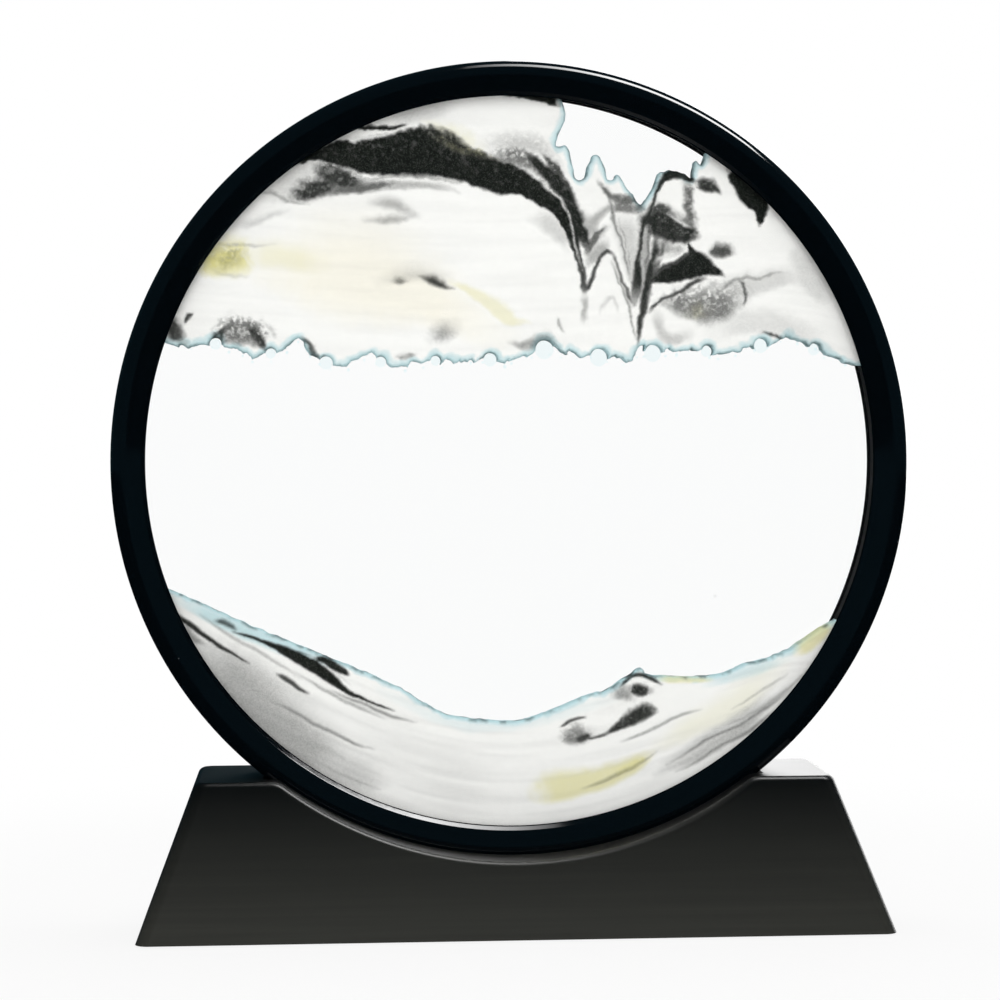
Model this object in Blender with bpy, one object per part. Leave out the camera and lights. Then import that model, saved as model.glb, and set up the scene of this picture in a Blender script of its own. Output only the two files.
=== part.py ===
# Moving sand picture: a round frame with a sealed glass cell, standing in a cradle base.
# Metres, +Z up, front towards -Y. The origin is on the table, under the middle of the base.

import math
import random

import bmesh
import bpy
from mathutils import Vector

# Fits
fit_gap = 0.0003  # between pieces that touch
groove_side_gap = 0.0006  # each side of the ring in the cradle's groove

# Ring
ring_outer_radius = 0.0900
ring_face_width = 0.0077
ring_outer_rounding = 0.0030
ring_inner_rounding = 0.0018
ring_lip_thickness = 0.0035
ring_wall = 0.0024
tongue_thickness = 0.0010
tongue_length = 0.0020
round_steps = 64  # facets of every piece that follows the ring
rounding_steps = 4
smooth_below = 35  # degrees between faces that are shaded as one surface

# Glass cell
glass_thickness = 0.0020
glass_chamfer = 0.0003
cavity_depth = 0.0050
seal_width = 0.0040
gasket_thickness = 0.0006
gasket_width = 0.0040
plug_radius = 0.0012
plug_end_chamfer = 0.0003

# Sand and bubbles
bubble_count = 12
bubble_radius = 0.0016
bubble_radius_spread = 0.0006
bubble_steps = 12
bubble_end_share = 0.75  # radius against the glass, of the bubble's own
mitre_limit = 0.4  # keeps sharp corners of a sand outline from running out

# Base
base_length = 0.1670
base_top_length = 0.1400
base_depth = 0.0500
base_top_depth = 0.0350
base_height = 0.0350  # table to the top of the base
ring_seat_height = 0.0150  # table to the lowest point of the ring
cradle_overlap = 0.0018  # how far the lips stand up beside the ring
cradle_fillet = 0.0050  # where the arc runs out into the flat top
base_corner_radius = 0.0040
base_inner_corner_radius = 0.0010
base_edge_rounding = 0.0011
base_edge_steps = 3
base_edge_angle = 40  # degrees at which an edge is rounded
cradle_steps = 16
base_wall = 0.0024
base_rim = 0.0014
rib_thickness = 0.0016
rib_pairs = 2
rib_pitch = 0.0210
cover_thickness = 0.0022

# Screws and feet
screw_end_inset = 0.0315  # from the base's end at the table to the screw's axis
screw_side_inset = 0.0125  # from the base's long side at the table
screw_shank_radius = 0.0013
screw_length = 0.0090  # below the head
screw_point = 0.0014
screw_tip_radius = 0.0004
screw_head_radius = 0.0027
screw_head_chamfer = 0.0004
screw_head_height = 0.0012
screw_steps = 12
boss_wall = 0.0018
post_steps = 16  # facets of the bosses and holes
foot_end_inset = 0.0135
foot_side_inset = 0.0110
foot_radius = 0.0060
foot_proud = 0.0010
foot_sunk = 0.0009
foot_chamfer = 0.0003
foot_steps = 24

# Worked out from the sizes above
window_radius = ring_outer_radius - ring_face_width
channel_radius = ring_outer_radius - ring_wall
glass_radius = channel_radius - fit_gap
cavity_radius = glass_radius - seal_width
glass_inner_face = cavity_depth / 2 + fit_gap
glass_outer_face = glass_inner_face + glass_thickness
gasket_inner_face = glass_outer_face + fit_gap
gasket_outer_face = gasket_inner_face + gasket_thickness
lip_back_face = gasket_outer_face + fit_gap
ring_half_depth = lip_back_face + ring_lip_thickness
ring_centre_height = ring_seat_height + ring_outer_radius
groove_radius = ring_outer_radius + fit_gap
groove_half_width = ring_half_depth + groove_side_gap
lip_radius = ring_outer_radius - cradle_overlap
cover_top = foot_proud + cover_thickness
cut_margin = 0.0020  # how far a cutter reaches past the surface that it cuts

# Outlines of the sand, as x and z from the middle of the disc, drawn for a cavity of
# drawing_radius. They grow and shrink with the real cavity.
drawing_radius = 83.3
upper_bed_ends = (161.0, 15.0)  # angles where the upper bed's lower edge meets the rim
upper_bed_edge = (
    (-73, 25.5), (-66.5, 26.7), (-55.5, 23.9), (-48, 27.5), (-46, 23.6), (-39, 21.3),
    (-33, 24.1), (-27, 21.3), (-21.5, 22.7), (-2, 23), (9, 25.5), (14.5, 24.1),
    (26.5, 22.7), (29, 26), (32, 24.3), (39.5, 25.5), (48.5, 24.5), (60, 26.6),
    (66, 27), (76, 22.5),
)
notch_ends = (57.0, 82.5)  # angles where the clear notch at upper right meets the rim
notch_edge = (
    (42.4, 64.5), (37.4, 66.3), (33, 62), (30.8, 59.3), (27.5, 62.9), (22.5, 64.8),
    (20, 68.7), (17.6, 63.8), (15.4, 65.6), (13.4, 71.8), (11, 72), (12.6, 78.6),
)
lower_bed_ends = (200.0, 333.8)
lower_bed_edge = (
    (-70, -32), (-58.5, -37.3), (-45, -43), (-39, -45.4), (-26.6, -50.9), (-15, -57.5),
    (-2.3, -59.1), (4, -58.8), (17.5, -53.4), (22, -52.3), (29, -47.7), (32, -49.2),
    (46, -49.4), (53, -47), (62, -44.2), (69.3, -39.8),
)
# The black band starts and ends on the rim between these angles.
black_band_ends = (119.0, 127.0)
black_band_back = (
    (-45.5, 60.5), (-36.4, 63.2), (-25, 66.6), (-13.6, 64.2), (-2.3, 60.6), (7.5, 55.9),
    (11.8, 51), (14.5, 45),
)
black_band_front = (
    (17.5, 38.5), (17, 47.7), (15.6, 57), (11.2, 63.6), (5.5, 67.3), (-2.3, 70),
    (-14.8, 72.6), (-25, 75),
)
black_wedge_ends = (42.0, 51.5)
black_wedge_edge = ((49.5, 59.5), (54, 52.5))
black_peak = ((33.5, 40.5), (38, 43.5), (41.5, 48.6), (44.5, 44), (48, 40.8), (41, 39.6))
gold_patch_ends = (143.5, 150.5)
gold_patch_edge = ((-61, 39.8), (-57.5, 45), (-59.5, 50.6))
gold_streak = ((-16, 39), (-8, 37.2), (-1, 32.4), (2.5, 29), (-3.5, 30.2), (-10, 34.4))
black_slope = (
    (-65, -36.6), (-56.4, -40.6), (-47.7, -44.8), (-38.5, -48.6), (-36, -52.3),
    (-43.6, -49.8), (-54.5, -44.8),
)
black_mound = ((21.8, -59.5), (26, -56), (31.8, -55.2), (33, -58), (27.3, -61.4), (23, -61.8))
gold_bank = (
    (4, -75), (11.5, -70.9), (22.7, -69.2), (33, -65.6), (35, -68), (24, -73.6),
    (15, -76.8), (7, -77.4),
)


def clear_scene():
    for old in list(bpy.data.objects):
        bpy.data.objects.remove(old, do_unlink=True)


def make_material(name, colour, roughness, metallic=0.0, alpha=1.0):
    material = bpy.data.materials.new(name)
    material.use_nodes = True
    shader = material.node_tree.nodes["Principled BSDF"]
    shader.inputs["Base Color"].default_value = (*colour, 1.0)
    shader.inputs["Roughness"].default_value = roughness
    shader.inputs["Metallic"].default_value = metallic
    shader.inputs["Alpha"].default_value = alpha
    material.diffuse_color = (*colour, alpha)
    return material


def make_object(name, mesh_builder, material, parent=None, smooth=True):
    recalc(mesh_builder)
    mesh = bpy.data.meshes.new(name)
    mesh_builder.to_mesh(mesh)
    mesh_builder.free()
    if smooth:
        mesh.shade_smooth()
        mesh.set_sharp_from_angle(angle=math.radians(smooth_below))
    if material:
        mesh.materials.append(material)
    piece = bpy.data.objects.new(name, mesh)
    bpy.context.scene.collection.objects.link(piece)
    piece.parent = parent
    return piece


def recalc(mesh_builder):
    bmesh.ops.recalc_face_normals(mesh_builder, faces=mesh_builder.faces[:])


def as_cutter(piece):
    piece.hide_render = True
    piece.display_type = "WIRE"
    return piece


def cut(piece, cutter):
    modifier = piece.modifiers.new("cut_" + cutter.name, "BOOLEAN")
    modifier.operation = "DIFFERENCE"
    modifier.solver = "EXACT"
    modifier.object = cutter
    return modifier


def add_turned(mesh_builder, profile, steps, axis="Y", centre=(0, 0, 0)):
    # profile: radius and height points round a closed section, clear of the axis
    rings = []
    for step in range(steps):
        angle = 2 * math.pi * step / steps
        ring = []
        for radius, height in profile:
            across, along = radius * math.cos(angle), radius * math.sin(angle)
            place = (across, height, along) if axis == "Y" else (across, along, height)
            ring.append(mesh_builder.verts.new(Vector(place) + Vector(centre)))
        rings.append(ring)
    for step in range(steps):
        near, far = rings[step], rings[(step + 1) % steps]
        for index in range(len(profile)):
            after = (index + 1) % len(profile)
            mesh_builder.faces.new((near[index], far[index], far[after], near[after]))


def add_spindle(mesh_builder, profile, steps, axis="Z", centre=(0, 0, 0)):
    # profile: radius and height points from one flat end to the other
    rings = []
    for radius, height in profile:
        ring = []
        for step in range(steps):
            angle = 2 * math.pi * step / steps
            across, along = radius * math.cos(angle), radius * math.sin(angle)
            place = (across, height, along) if axis == "Y" else (across, along, height)
            ring.append(mesh_builder.verts.new(Vector(place) + Vector(centre)))
        rings.append(ring)
    for near, far in zip(rings, rings[1:]):
        for step in range(steps):
            after = (step + 1) % steps
            mesh_builder.faces.new((near[step], near[after], far[after], far[step]))
    mesh_builder.faces.new(rings[0])
    mesh_builder.faces.new(rings[-1])


def add_prism(mesh_builder, outline, low, high):
    # outline: x and z points, extruded along Y from low to high
    near = [mesh_builder.verts.new((x, low, z)) for x, z in outline]
    face = mesh_builder.faces.new(near)
    extruded = bmesh.ops.extrude_face_region(mesh_builder, geom=[face])
    moved = [item for item in extruded["geom"] if isinstance(item, bmesh.types.BMVert)]
    bmesh.ops.translate(mesh_builder, verts=moved, vec=(0, high - low, 0))


def quarter_round(centre_radius, centre_depth, radius, start_angle):
    # points of a quarter circle in the section plane, ends included
    points = []
    for step in range(rounding_steps + 1):
        angle = math.radians(start_angle) + math.pi / 2 * step / rounding_steps
        points.append(
            (centre_radius + radius * math.cos(angle), centre_depth + radius * math.sin(angle))
        )
    return points


# Turning frame


def ring_profile(has_tongue):
    # Section of one half ring, seam at depth 0, face at ring_half_depth. The half with the
    # tongue reaches over the seam into the other half's rebate.
    seam = fit_gap / 2
    outer = min(ring_outer_rounding, ring_half_depth - fit_gap)
    inner = min(ring_inner_rounding, ring_lip_thickness)
    points = [(ring_outer_radius, seam)]
    points += quarter_round(ring_outer_radius - outer, ring_half_depth - outer, outer, 0)
    points += quarter_round(window_radius + inner, ring_half_depth - inner, inner, 90)
    points += [(window_radius, lip_back_face), (channel_radius, lip_back_face)]
    if has_tongue:
        tongue_outer = channel_radius + tongue_thickness
        points += [
            (channel_radius, -tongue_length),
            (tongue_outer, -tongue_length),
            (tongue_outer, seam),
        ]
    else:
        rebate_radius = channel_radius + tongue_thickness + fit_gap
        rebate_depth = tongue_length + fit_gap
        points += [
            (channel_radius, rebate_depth),
            (rebate_radius, rebate_depth),
            (rebate_radius, seam),
        ]
    return points


def half_ring(name, side, has_tongue, material, pivot):
    profile = [(radius, side * depth) for radius, depth in ring_profile(has_tongue)]
    builder = bmesh.new()
    add_turned(builder, profile, round_steps)
    return make_object(name, builder, material, pivot)


def glass_disc(name, side, material, pivot):
    profile = (
        (glass_radius - glass_chamfer, side * glass_inner_face),
        (glass_radius, side * (glass_inner_face + glass_chamfer)),
        (glass_radius, side * (glass_outer_face - glass_chamfer)),
        (glass_radius - glass_chamfer, side * glass_outer_face),
    )
    builder = bmesh.new()
    add_spindle(builder, profile, round_steps, axis="Y")
    return make_object(name, builder, material, pivot)


def gasket(name, side, material, pivot):
    inner = glass_radius - gasket_width
    profile = (
        (inner, side * gasket_inner_face),
        (glass_radius, side * gasket_inner_face),
        (glass_radius, side * gasket_outer_face),
        (inner, side * gasket_outer_face),
    )
    builder = bmesh.new()
    add_turned(builder, profile, round_steps)
    return make_object(name, builder, material, pivot)


def seal_ring(material, pivot):
    half = cavity_depth / 2
    profile = (
        (cavity_radius, -half),
        (glass_radius, -half),
        (glass_radius, half),
        (cavity_radius, half),
    )
    builder = bmesh.new()
    add_turned(builder, profile, round_steps)
    seal = make_object("seal_ring", builder, material, pivot)
    hole = bmesh.new()
    hole_profile = (
        (plug_radius + fit_gap, cavity_radius - cut_margin),
        (plug_radius + fit_gap, glass_radius + cut_margin),
    )
    add_spindle(hole, hole_profile, bubble_steps)
    cut(seal, as_cutter(make_object("filler_hole", hole, None, pivot)))
    return seal


def fill_plug(material, pivot):
    profile = (
        (plug_radius - plug_end_chamfer, cavity_radius),
        (plug_radius, cavity_radius + plug_end_chamfer),
        (plug_radius, glass_radius - plug_end_chamfer),
        (plug_radius - plug_end_chamfer, glass_radius),
    )
    builder = bmesh.new()
    add_spindle(builder, profile, bubble_steps)
    return make_object("fill_plug", builder, material, pivot)


# Sand, liquid and bubbles


def scaled(points):
    unit = cavity_radius / drawing_radius
    return [Vector((x * unit, z * unit)) for x, z in points]


def rim_arc(start, end):
    # points on the rim of the cavity from one angle up to another, facets in line with the seal
    radius = cavity_radius - fit_gap / 2
    step = 360 / round_steps
    angles = [start]
    angles += [step * index for index in range(-round_steps, 2 * round_steps)
               if start + step / 4 < step * index < end - step / 4]
    angles.append(end)
    return [
        Vector((radius * math.cos(math.radians(angle)), radius * math.sin(math.radians(angle))))
        for angle in angles
    ]


def offset_outline(outline, distance):
    # moves each side outwards by distance, or inwards when it is negative
    area = sum(a.x * b.y - b.x * a.y for a, b in zip(outline, outline[1:] + outline[:1]))
    sign = 1 if area > 0 else -1
    moved = []
    for index, point in enumerate(outline):
        before = (point - outline[index - 1]).normalized()
        after = (outline[(index + 1) % len(outline)] - point).normalized()
        normal_before = Vector((before.y, -before.x)) * sign
        normal_after = Vector((after.y, -after.x)) * sign
        spread = max(1 + normal_before.dot(normal_after), mitre_limit)
        moved.append(point + (normal_before + normal_after) * (distance / spread))
    return moved


def upper_bed_outline():
    left, right = upper_bed_ends
    notch_right, notch_left = notch_ends
    outline = rim_arc(notch_left, left) + scaled(upper_bed_edge)
    outline += rim_arc(right, notch_right) + scaled(notch_edge)
    return outline


def lower_bed_outline():
    left, right = lower_bed_ends
    return rim_arc(left, right) + scaled(reversed(lower_bed_edge))


def middle_outline():
    upper_left, upper_right = upper_bed_ends
    lower_left, lower_right = lower_bed_ends
    outline = rim_arc(upper_left, lower_left) + scaled(lower_bed_edge)
    outline += rim_arc(lower_right, upper_right + 360) + scaled(reversed(upper_bed_edge))
    return outline


def notch_outline():
    return rim_arc(*notch_ends) + scaled(reversed(notch_edge))


def rim_patch(ends, edge):
    # a patch of coloured sand that reaches the rim between two angles
    return rim_arc(*ends) + scaled(edge)


def upper_patches():
    # each patch of coloured sand in the upper bed: name, colour and outline
    return (
        ("black_sand_band", "black sand",
         rim_patch(black_band_ends, black_band_back + black_band_front)),
        ("black_sand_wedge", "black sand", rim_patch(black_wedge_ends, black_wedge_edge)),
        ("black_sand_peak", "black sand", scaled(black_peak)),
        ("gold_sand_patch", "gold sand", rim_patch(gold_patch_ends, gold_patch_edge)),
        ("gold_sand_streak", "gold sand", scaled(gold_streak)),
    )


def lower_patches():
    return (
        ("black_sand_slope", "black sand", scaled(black_slope)),
        ("black_sand_mound", "black sand", scaled(black_mound)),
        ("gold_sand_bank", "gold sand", scaled(gold_bank)),
    )


def slab(name, outline, material, pivot):
    # sand or liquid between the discs, with a gap to whatever lies beside it
    builder = bmesh.new()
    inner = offset_outline(outline, -fit_gap / 2)
    add_prism(builder, inner, -cavity_depth / 2, cavity_depth / 2)
    return make_object(name, builder, material, pivot, smooth=False)


def slab_cutter(name, outlines, pivot):
    builder = bmesh.new()
    reach = cavity_depth / 2 + cut_margin
    for outline in outlines:
        add_prism(builder, offset_outline(outline, fit_gap / 2), -reach, reach)
    return as_cutter(make_object(name, builder, None, pivot, smooth=False))


def height_on_edge(points, across):
    for near, far in zip(points, points[1:]):
        if near.x <= across <= far.x:
            share = (across - near.x) / (far.x - near.x)
            return near.y + share * (far.y - near.y)
    return points[-1].y


def bubble_places():
    # evenly along the lower edge of the upper bed, with a radius that varies
    chance = random.Random(4)
    edge = scaled(upper_bed_edge)
    first, last = edge[0].x, edge[-1].x
    places = []
    for index in range(bubble_count):
        across = first + (last - first) * (index + 0.5) / bubble_count
        radius = bubble_radius + bubble_radius_spread * chance.uniform(-1, 1)
        places.append((across, height_on_edge(edge, across), radius))
    return places


def bubble_profile(radius, half, swell):
    return ((radius * swell, -half), (radius, -half / 2), (radius, half / 2), (radius * swell, half))


def air_bubbles(material, pivot):
    for index, (across, height, radius) in enumerate(bubble_places()):
        builder = bmesh.new()
        profile = bubble_profile(radius, cavity_depth / 2, bubble_end_share)
        add_spindle(builder, profile, bubble_steps, axis="Y", centre=(across, 0, height))
        make_object(f"air_bubble_{index + 1:02d}", builder, material, pivot)


def bubble_cutter(pivot):
    builder = bmesh.new()
    for across, height, radius in bubble_places():
        profile = bubble_profile(radius + fit_gap, cavity_depth / 2 + cut_margin, 1.0)
        add_spindle(builder, profile, bubble_steps, axis="Y", centre=(across, 0, height))
    return as_cutter(make_object("bubble_room", builder, None, pivot))


def cell_contents(materials, pivot):
    bubble_room = bubble_cutter(pivot)
    beds = (
        ("white_sand_upper", upper_bed_outline(), upper_patches()),
        ("white_sand_lower", lower_bed_outline(), lower_patches()),
    )
    for bed_name, outline, patches in beds:
        bed = slab(bed_name, outline, materials["white sand"], pivot)
        for name, colour, patch in patches:
            slab(name, patch, materials[colour], pivot)
        cut(bed, slab_cutter(bed_name + "_patches", [patch for _, _, patch in patches], pivot))
        cut(bed, bubble_room)
    liquid = slab("liquid", middle_outline(), materials["liquid"], pivot)
    cut(liquid, bubble_room)
    slab("liquid_in_notch", notch_outline(), materials["liquid"], pivot)
    air_bubbles(materials["air"], pivot)


# Base


def half_length(height):
    share = (height - foot_proud) / (base_height - foot_proud)
    return (base_length + (base_top_length - base_length) * share) / 2


def half_depth(height):
    share = (height - foot_proud) / (base_height - foot_proud)
    return (base_depth + (base_top_depth - base_depth) * share) / 2


def rounded_rectangle(half_x, half_y, radius):
    points = []
    for corner in range(4):
        side_x = 1 if corner in (0, 3) else -1
        side_y = 1 if corner in (0, 1) else -1
        for step in range(rounding_steps + 1):
            angle = math.pi / 2 * (corner + step / rounding_steps)
            points.append((
                side_x * (half_x - radius) + radius * math.cos(angle),
                side_y * (half_y - radius) + radius * math.sin(angle),
            ))
    return points


def drafted_block(name, low, high, inset, material):
    # block with the base's sloping sides, moved inwards by inset, between two heights
    radius = max(base_corner_radius - inset, base_inner_corner_radius)
    builder = bmesh.new()
    rings = []
    for height in (low, high):
        outline = rounded_rectangle(half_length(height) - inset, half_depth(height) - inset, radius)
        rings.append([builder.verts.new((x, y, height)) for x, y in outline])
    count = len(rings[0])
    for index in range(count):
        after = (index + 1) % count
        builder.faces.new((rings[0][index], rings[0][after], rings[1][after], rings[1][index]))
    builder.faces.new(rings[0])
    builder.faces.new(rings[1])
    return make_object(name, builder, material, smooth=False)


def cradle_outline():
    # everything above the base seen from the front: the arc round the ring, run out into
    # the flat top with a fillet, and closed high above
    drop = ring_centre_height - base_height
    fillet_x = math.sqrt((lip_radius + cradle_fillet) ** 2 - (drop + cradle_fillet) ** 2)
    fillet_z = base_height - cradle_fillet
    reach_angle = math.atan2(fillet_x, drop + cradle_fillet)
    arc = []
    for step in range(cradle_steps + 1):
        angle = -reach_angle + 2 * reach_angle * step / cradle_steps
        arc.append(
            (lip_radius * math.sin(angle), ring_centre_height - lip_radius * math.cos(angle))
        )
    fillet = []
    for step in range(1, rounding_steps + 1):
        angle = reach_angle * (1 - step / rounding_steps)
        fillet.append((
            fillet_x - cradle_fillet * math.sin(angle),
            fillet_z + cradle_fillet * math.cos(angle),
        ))
    left = [(-x, z) for x, z in reversed(fillet)]
    top = base_height + cradle_fillet
    far = half_length(base_height) + cradle_fillet
    right_end = [(far, base_height), (far, top), (-far, top), (-far, base_height)]
    return left + arc + fillet + right_end


def box(name, low, high):
    builder = bmesh.new()
    bmesh.ops.create_cube(builder, size=1)
    size = Vector(high) - Vector(low)
    bmesh.ops.scale(builder, verts=builder.verts[:], vec=size)
    bmesh.ops.translate(builder, verts=builder.verts[:], vec=(Vector(high) + Vector(low)) / 2)
    return make_object(name, builder, None, smooth=False)


def cradle_cutter():
    builder = bmesh.new()
    reach = base_depth / 2 + cut_margin
    add_prism(builder, cradle_outline(), -reach, reach)
    return as_cutter(make_object("cradle_room", builder, None, smooth=False))


def groove_cutter():
    profile = ((groove_radius, -groove_half_width), (groove_radius, groove_half_width))
    builder = bmesh.new()
    add_spindle(builder, profile, round_steps, axis="Y", centre=(0, 0, ring_centre_height))
    return as_cutter(make_object("groove_room", builder, None))


def floor_cutter():
    # keeps the moulding's wall under the groove when it is taken from the hollow
    radius = groove_radius + base_wall
    profile = ((radius, -base_depth), (radius, base_depth))
    builder = bmesh.new()
    add_spindle(builder, profile, round_steps, axis="Y", centre=(0, 0, ring_centre_height))
    return as_cutter(make_object("cradle_wall", builder, None))


def screw_places():
    x = base_length / 2 - screw_end_inset
    y = base_depth / 2 - screw_side_inset
    return ((-x, -y), (x, -y), (-x, y), (x, y))


def foot_places():
    x = base_length / 2 - foot_end_inset
    y = base_depth / 2 - foot_side_inset
    names = ("foot_front_left", "foot_front_right", "foot_rear_left", "foot_rear_right")
    return tuple(zip(names, (-x, x, -x, x), (-y, -y, y, y)))


def posts(name, places, radius, low, high, steps=post_steps):
    builder = bmesh.new()
    for x, y in places:
        add_spindle(builder, ((radius, low), (radius, high)), steps, centre=(x, y, 0))
    return as_cutter(make_object(name, builder, None))


def hollow_cutter():
    # the hollow under the moulding, with the cross ribs and the screw bosses left standing,
    # which the room for the cover then cuts to length
    below = foot_proud - 2 * cut_margin
    hollow = drafted_block(
        "hollow_room", foot_proud - cut_margin, base_height - base_wall, base_wall, None
    )
    cut(hollow, floor_cutter())
    for index in range(2 * rib_pairs):
        middle = (index + 0.5 - rib_pairs) * rib_pitch
        low = (middle - rib_thickness / 2, -base_depth, below)
        high = (middle + rib_thickness / 2, base_depth, base_height)
        cut(hollow, as_cutter(box(f"cross_rib_{index + 1}", low, high)))
    boss_radius = screw_shank_radius + fit_gap + boss_wall
    bosses = posts("boss_posts", screw_places(), boss_radius, below, base_height)
    cut(hollow, bosses)
    return as_cutter(hollow)


def base_shell(material):
    below = foot_proud - base_edge_rounding - cut_margin
    shell = drafted_block("base_shell", below, base_height, 0, material)
    cut(shell, cradle_cutter())
    rounding = shell.modifiers.new("edge_rounding", "BEVEL")
    rounding.width = base_edge_rounding
    rounding.segments = base_edge_steps
    rounding.limit_method = "ANGLE"
    rounding.angle_limit = math.radians(base_edge_angle)
    far = base_length
    trim = box("below_base", (-far, -far, below - cut_margin), (far, far, foot_proud))
    cut(shell, as_cutter(trim))
    cut(shell, groove_cutter())
    cut(shell, hollow_cutter())
    recess = drafted_block(
        "cover_room", foot_proud - cut_margin, cover_top + fit_gap, base_rim, None
    )
    cut(shell, as_cutter(recess))
    pilot_radius = screw_shank_radius + fit_gap
    pilot_top = foot_proud + screw_head_height + fit_gap * 2 + screw_length + fit_gap
    pilots = posts("pilot_holes", screw_places(), pilot_radius, foot_proud, pilot_top)
    cut(shell, pilots)
    return shell


def base_cover(material):
    cover = drafted_block("base_cover", foot_proud, cover_top, base_rim + fit_gap, material)
    below = foot_proud - cut_margin
    above = cover_top + cut_margin
    hole_radius = screw_shank_radius + fit_gap
    head_radius = screw_head_radius + fit_gap
    head_top = foot_proud + screw_head_height + fit_gap
    cut(cover, posts("screw_holes", screw_places(), hole_radius, below, above))
    cut(cover, posts("screw_heads_room", screw_places(), head_radius, below, head_top))
    places = [(x, y) for name, x, y in foot_places()]
    pocket_top = foot_proud + foot_sunk + fit_gap
    cut(cover, posts("foot_rooms", places, foot_radius + fit_gap, below, pocket_top, foot_steps))
    return cover


def base_screws(material):
    # each head lies just inside the cover's face, its shank runs up into a boss
    head_low = foot_proud
    head_high = head_low + screw_head_height
    tip = head_high + screw_length
    profile = (
        (screw_head_radius - screw_head_chamfer, head_low),
        (screw_head_radius, head_low + screw_head_chamfer),
        (screw_head_radius, head_high),
        (screw_shank_radius, head_high),
        (screw_shank_radius, tip - screw_point),
        (screw_tip_radius, tip),
    )
    for index, (x, y) in enumerate(screw_places()):
        builder = bmesh.new()
        add_spindle(builder, profile, screw_steps)
        screw = make_object(f"base_screw_{index + 1}", builder, material)
        screw.location = (x, y, 0)


def rubber_foot(name, x, y, material):
    top = foot_proud + foot_sunk
    profile = (
        (foot_radius - foot_chamfer, 0),
        (foot_radius, foot_chamfer),
        (foot_radius, top - foot_chamfer),
        (foot_radius - foot_chamfer, top),
    )
    builder = bmesh.new()
    add_spindle(builder, profile, foot_steps)
    foot = make_object(name, builder, material)
    foot.location = (x, y, 0)
    return foot


def main():
    clear_scene()
    materials = {
        "ring": make_material("glossy black plastic", (0.006, 0.009, 0.013), 0.12),
        "glass": make_material("clear glass", (0.95, 0.97, 0.97), 0.02, alpha=0.2),
        "gasket": make_material("black foam", (0.03, 0.03, 0.03), 0.9),
        "seal": make_material("silicone", (0.08, 0.08, 0.085), 0.5),
        "liquid": make_material("clear liquid", (0.93, 0.97, 0.98), 0.02, alpha=0.15),
        "air": make_material("air", (0.85, 0.95, 0.97), 0.05, alpha=0.25),
        "white sand": make_material("white sand", (0.86, 0.85, 0.82), 0.9),
        "black sand": make_material("black sand", (0.02, 0.02, 0.02), 0.8),
        "gold sand": make_material("gold sand", (0.72, 0.63, 0.27), 0.7),
        "base": make_material("satin black plastic", (0.018, 0.018, 0.016), 0.4),
        "screw": make_material("zinc plated steel", (0.6, 0.6, 0.62), 0.35, metallic=1.0),
        "foot": make_material("foot rubber", (0.02, 0.02, 0.02), 0.85),
    }
    pivot = bpy.data.objects.new("frame_axis", None)
    pivot.location = (0, 0, ring_centre_height)
    bpy.context.scene.collection.objects.link(pivot)
    half_ring("front_ring", -1, False, materials["ring"], pivot)
    half_ring("rear_ring", 1, True, materials["ring"], pivot)
    gasket("front_gasket", -1, materials["gasket"], pivot)
    gasket("rear_gasket", 1, materials["gasket"], pivot)
    glass_disc("front_glass", -1, materials["glass"], pivot)
    glass_disc("rear_glass", 1, materials["glass"], pivot)
    seal_ring(materials["seal"], pivot)
    fill_plug(materials["seal"], pivot)
    cell_contents(materials, pivot)
    base_shell(materials["base"])
    base_cover(materials["base"])
    base_screws(materials["screw"])
    for name, x, y in foot_places():
        rubber_foot(name, x, y, materials["foot"])


main()
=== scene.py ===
import math

import bmesh
import bpy
import numpy as np
from mathutils import Matrix, Vector, geometry, kdtree


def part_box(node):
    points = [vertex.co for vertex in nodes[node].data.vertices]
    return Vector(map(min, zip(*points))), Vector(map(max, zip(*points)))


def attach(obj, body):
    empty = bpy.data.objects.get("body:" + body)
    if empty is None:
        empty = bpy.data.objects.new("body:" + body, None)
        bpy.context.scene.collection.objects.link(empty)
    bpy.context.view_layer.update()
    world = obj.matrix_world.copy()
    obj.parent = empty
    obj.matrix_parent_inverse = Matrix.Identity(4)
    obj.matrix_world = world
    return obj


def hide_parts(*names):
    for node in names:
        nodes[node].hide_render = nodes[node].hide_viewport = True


# Looks of the moving sand picture: a round frame with sand, liquid and air between two glass
# discs, standing in its cradle base. Shapes are drawn in millimetres and scaled when they are
# finished. The frame's own pieces are drawn from the middle of the disc, x to the right and
# z up as seen from the front, y towards the back.

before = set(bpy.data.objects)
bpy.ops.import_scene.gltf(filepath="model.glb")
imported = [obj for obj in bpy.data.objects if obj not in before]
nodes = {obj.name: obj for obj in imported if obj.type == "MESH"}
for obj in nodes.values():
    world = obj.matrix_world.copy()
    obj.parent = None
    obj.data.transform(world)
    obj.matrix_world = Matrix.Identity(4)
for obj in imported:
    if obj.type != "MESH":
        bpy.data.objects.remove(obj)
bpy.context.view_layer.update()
mm = 0.001

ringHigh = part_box("front_ring")[1]
ringRadius = ringHigh.x / mm
middleHeight = ringHigh.z / mm - ringRadius
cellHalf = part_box("white_sand_upper")[1].y / mm
cavityRadius = 83.15  # where the sand meets the seal
liquidRadius = 83.5


# Helpers for meshes


def makeObject(name, mesh):
    piece = bpy.data.objects.new(name, mesh)
    bpy.context.scene.collection.objects.link(piece)
    return piece


def applyModifiers(piece):
    # what the modifiers make becomes a plain mesh
    depsgraph = bpy.context.evaluated_depsgraph_get()
    mesh = bpy.data.meshes.new_from_object(piece.evaluated_get(depsgraph))
    mesh.name = piece.name
    piece.modifiers.clear()
    piece.data = mesh
    return piece


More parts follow.
